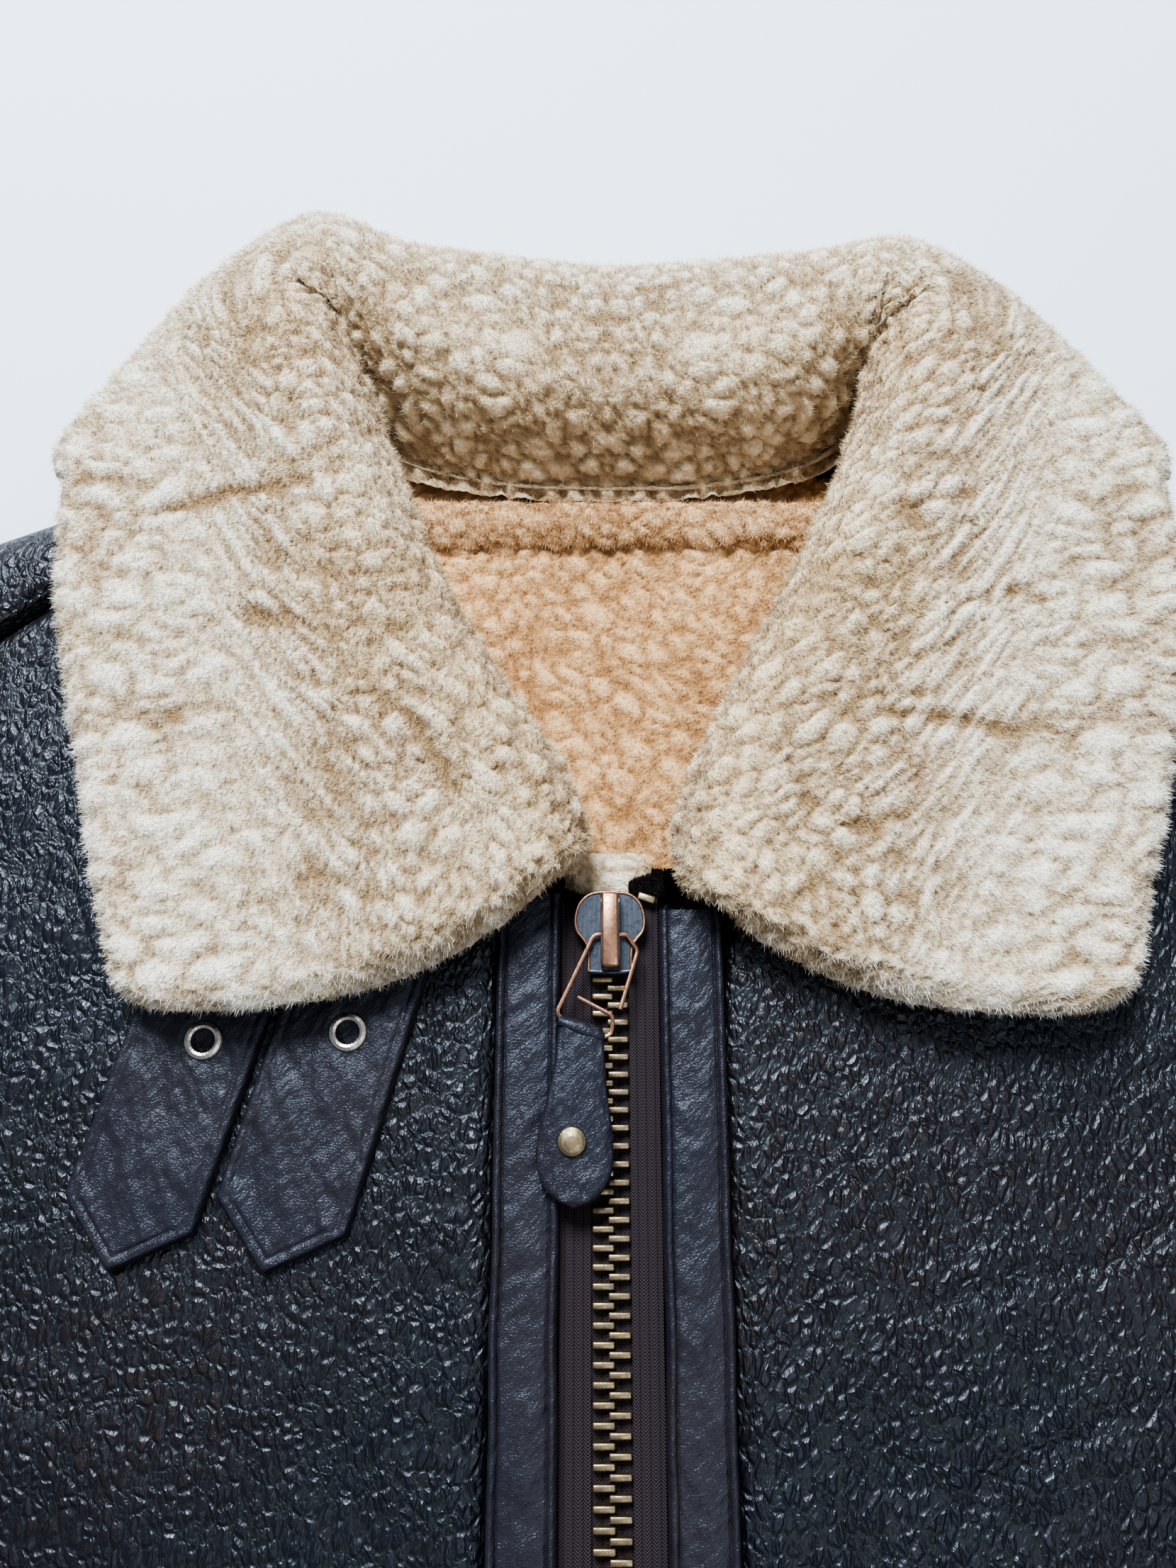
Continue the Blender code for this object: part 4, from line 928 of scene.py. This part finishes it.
def tab_skin():
    """The leather tab of the zip's pull, a flattened tube with soft edges and upright wrinkles."""
    edges = smooth_rows(TAB_EDGES, 9)
    y, left, right = edges[:, 0][:, None], edges[:, 1][:, None], edges[:, 2][:, None]
    turn = np.linspace(0, 2 * pi, 73)[None]
    c, s = np.cos(turn), np.sin(turn)
    x = (left + right) / 2 + (right - left) / 2 * np.sign(c) * np.abs(c) ** 0.45
    thin = np.clip((y + 75.8) / 2.0, 0.15, 1) ** 0.5
    z = 30.3 + 1.75 * thin * np.sign(s) * np.abs(s) ** 0.75
    points = np.dstack([x, y + 0 * x, z])
    grain = 0.28 * sampled(points * (1.6, 0.6, 1), 2.0) + 0.25 * sampled(points * (1.0, 0.5, 1), 4.5)
    gap = np.hypot(x + 9.3, y + 60.5)
    points[..., 2] += np.where(s > 0.3, grain * np.clip((gap - 3) / 2, 0, 1), 0)
    return points


def make_zip():
    """The zip's teeth and the dark tape between them, its slider's copper parts and top stop."""
    count = int((CHAIN_TOP - HEM_Y) / TOOTH_PITCH)
    for name, side, shift in (("left", -1, 0.0), ("right", 1, TOOTH_PITCH / 2)):
        spots = [(side * TOOTH_X, CHAIN_TOP - shift - TOOTH_PITCH * step, TOOTH_Z) for step in range(count)]
        join_body(blocks(f"zip_teeth_{name}", spots, TOOTH, BRASS), "zip_chain", slot="zip_brass")
    y = np.linspace(-12, HEM_Y, 300)[:, None]
    x = np.linspace(-4.7, 4.7, 16)[None]
    cords = 22.4 + 0.4 * np.cos(pi * x / 2.2) + 0.3 * np.sin(2 * pi * y / 2.1)
    core = sheet_mesh("zip_core", np.dstack([x + 0 * y, y + 0 * x, cords])[::-1], TAPE)
    join_body(core, "zip_chain", slot="zip_tape")
    bridge = blocks("slider_bridge", [(0, -10.0, 30.9)], (4.7, 18.8, 2.4), COPPER, 0.9)
    join_body(bridge, slot="copper")
    stop = blocks("top_stop", [(9.4, -1.2, 25.4)], (4.6, 2.0, 2.0), BRASS, 0.4, -0.3)
    join_body(stop, slot="zip_brass")
    rim = [(-x, y, 27.2) for x, y in SLIDER_HALF[:0:-1]] + [(x, y, 27.2) for x, y in SLIDER_HALF]
    join_body(tube("slider_rim", smooth_rows(rim, 5), 0.42, COPPER), slot="copper")
    foot = [(-5.3, -19.9, 26.9), (0, -20.1, 26.9), (5.3, -19.9, 26.9)]
    join_body(tube("slider_foot", smooth_rows(foot, 4), 0.6, GUNMETAL), slot="gunmetal")
    for name, x_low, x_high, y_low, y_high in TAPE_ENDS:
        x = np.linspace(x_low, x_high, 16)[None]
        y = np.linspace(y_low, y_high, 14)[:, None] + 0.35 * (x - x_low if x_low > 0 else x_high - x - 6)
        base = np.dstack([x + 0 * y, y, 23.6 + 0 * y])
        pile = 0.5 + 0.2 * sampled(base, 1.5)
        worn = wool_patch(f"tape_end_{name}", TAPE, base, pile, 0 * y + 0.5, 1.5, 4000, 1.6, (0.0, 1.0, 0.0))
        for piece in worn:
            join_body(piece, slot="zip_tape")


def make_straps():
    """The strips beside the zip, the collar straps and the pull's tab."""
    for name, side, top in (("right", 1, -4.5), ("left", -1, -0.5)):
        piece = sheet_mesh(f"strip_skin_{name}", strip_skin(side, top), SMOOTH)
        join_body(piece, f"zip_strip_{name}", slot="smooth_leather")
    for name, tip, lean, length, hole in STRAPS:
        piece = sheet_mesh(f"strap_skin_{name}", strap_skin(tip, lean, length, hole), SMOOTH)
        join_body(piece, f"strap_{name}", slot="smooth_leather")
    tab = sheet_mesh("tab_skin", tab_skin(), SMOOTH)
    bar = np.linspace((-12.7, -32.2, 30.4), (-1.5, -36.6, 30.4), 15)
    swell = 2.15 * np.sqrt(np.sin(np.linspace(0.03, 1, 15) * pi * 0.99)) ** 0.5
    loop = tube("tab_loop", bar, swell, SMOOTH)
    for piece in (tab, loop):
        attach(piece, "pull_tab")
        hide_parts("pull_tab")


# Scene.


def make_camera():
    """The photograph's view: close above the zip, tilted towards the collar."""
    data = bpy.data.cameras.new("camera")
    data.sensor_fit = "VERTICAL"
    data.sensor_height = 36.0
    data.lens = 27.016
    data.clip_start = 0.01
    made = in_scene("camera", data)
    made.location = place((-5.5, -55.9, 322.1))
    made.rotation_euler = (radians(16), 0, 0)
    bpy.context.scene.camera = made


def make_light(name, spot, aim, size, power, colour):
    """A round soft light at a spot, turned to what it is aimed at."""
    data = bpy.data.lights.new(name, "AREA")
    data.shape = "DISK"
    data.size = size
    data.energy = power
    data.color = colour
    made = in_scene(name, data)
    made.location = spot
    made.rotation_euler = (Vector(spot) - Vector(aim)).to_track_quat("Z", "Y").to_euler()


def make_stage():
    """The pale table, and the soft window light from beyond the collar."""
    grid = bmesh.new()
    bmesh.ops.create_grid(grid, x_segments=1, y_segments=1, size=3.0)
    mesh = bpy.data.meshes.new("table")
    grid.to_mesh(mesh)
    grid.free()
    looks = Looks("table_top", Roughness=0.7)
    tone = looks.mix(looks.noise(2.0), (0.70, 0.75, 0.84, 1), (0.76, 0.80, 0.88, 1))
    mesh.materials.append(looks.show(Base_Color=tone))
    table = in_scene("table", mesh)
    table.location.z = -0.0005
    world = bpy.data.worlds.new("room")
    world.use_nodes = True
    sky = world.node_tree.nodes["Background"]
    sky.inputs["Color"].default_value = (0.80, 0.88, 1.0, 1)
    sky.inputs["Strength"].default_value = 0.35
    bpy.context.scene.world = world
    bpy.context.scene.view_settings.look = "AgX - Medium High Contrast"
    make_light("window", (-0.35, 1.25, 1.35), (0, 0.15, 0), 0.7, 84, (0.88, 0.94, 1.0))
    make_light("room_fill", (0.7, -0.6, 1.6), (0, 0.1, 0), 1.4, 9, (0.97, 0.98, 1.0))


make_camera()
make_stage()
LEATHER = leather_looks()
SMOOTH = smooth_leather_looks()
# Each wool's first colour is painted shade for the bottom of its pile.
WOOL = wool_looks("wool", (0.34, 0.22, 0.11, 1), ((0.76, 0.65, 0.48, 1), (0.96, 0.92, 0.82, 1)),
                  ((0.68, 0.51, 0.31, 1), (0.89, 0.75, 0.52, 1)))
LINING = wool_looks("lining_wool", (0.30, 0.14, 0.05, 1), ((0.62, 0.38, 0.18, 1), (0.84, 0.58, 0.34, 1)),
                    ((0.62, 0.34, 0.14, 1), (0.86, 0.54, 0.27, 1)))
TAPE = tape_looks()
BRASS = metal_looks("worn_brass", (0.38, 0.29, 0.17, 1), (0.17, 0.14, 0.10, 1), 0.34)
COPPER = metal_looks("worn_copper", (0.55, 0.30, 0.19, 1), (0.28, 0.16, 0.11, 1), 0.28)
GUNMETAL = metal_looks("gunmetal", (0.11, 0.125, 0.15, 1), (0.05, 0.055, 0.07, 1), 0.28)
NICKEL = metal_looks("nickel", (0.62, 0.58, 0.52, 1), (0.36, 0.33, 0.29, 1), 0.24)

sides = [("right", 1, NECK_OF_RIGHT, FOLDS, CREASES_RIGHT, COLLAR_RIGHT_ROWS, CREVICES_RIGHT),
         ("left", -1, NECK_OF_LEFT, MIRRORED_FOLDS, CREASES_LEFT, COLLAR_LEFT_ROWS, CREVICES_LEFT)]
for name, side, neck, folds, creases, collar, crevices in sides:
    panels = [("front_skin", front_skin(side, neck, folds, creases), f"front_{name}", "back"),
              ("shoulder_skin", yoke_skin(side), f"shoulder_{name}", "back"),
              ("sleeve_skin", sleeve_skin(side, FRONT_LOW, FRONT_HIGH, folds), f"sleeve_{name}_upper",
               f"sleeve_{name}_under"),
              ("sleeve_under", sleeve_skin(side, 0.0, BACK_HIGH, None), f"sleeve_{name}_under", "table")]
    for word, points, node, below in panels:
        panel = sheet_mesh(f"{word}_{name}", points, LEATHER)
        join_body(panel, node)
    make_collar(name, side, collar, crevices)
back_points = back_skin()
back = sheet_mesh("back_skin", back_points, LEATHER)
join_body(back, "back")
make_linings()
make_zip()
make_straps()

# The CAD nodes that are shown as they are.
finishes = {"zip_tape_right": TAPE, "zip_tape_left": TAPE, "pull_rivet": BRASS, "zip_slider": GUNMETAL,
            "pull_wire": COPPER, "eyelet_outer": NICKEL, "eyelet_inner": NICKEL}
for node, looks in finishes.items():
    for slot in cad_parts[node].material_slots:
        slot.material = looks
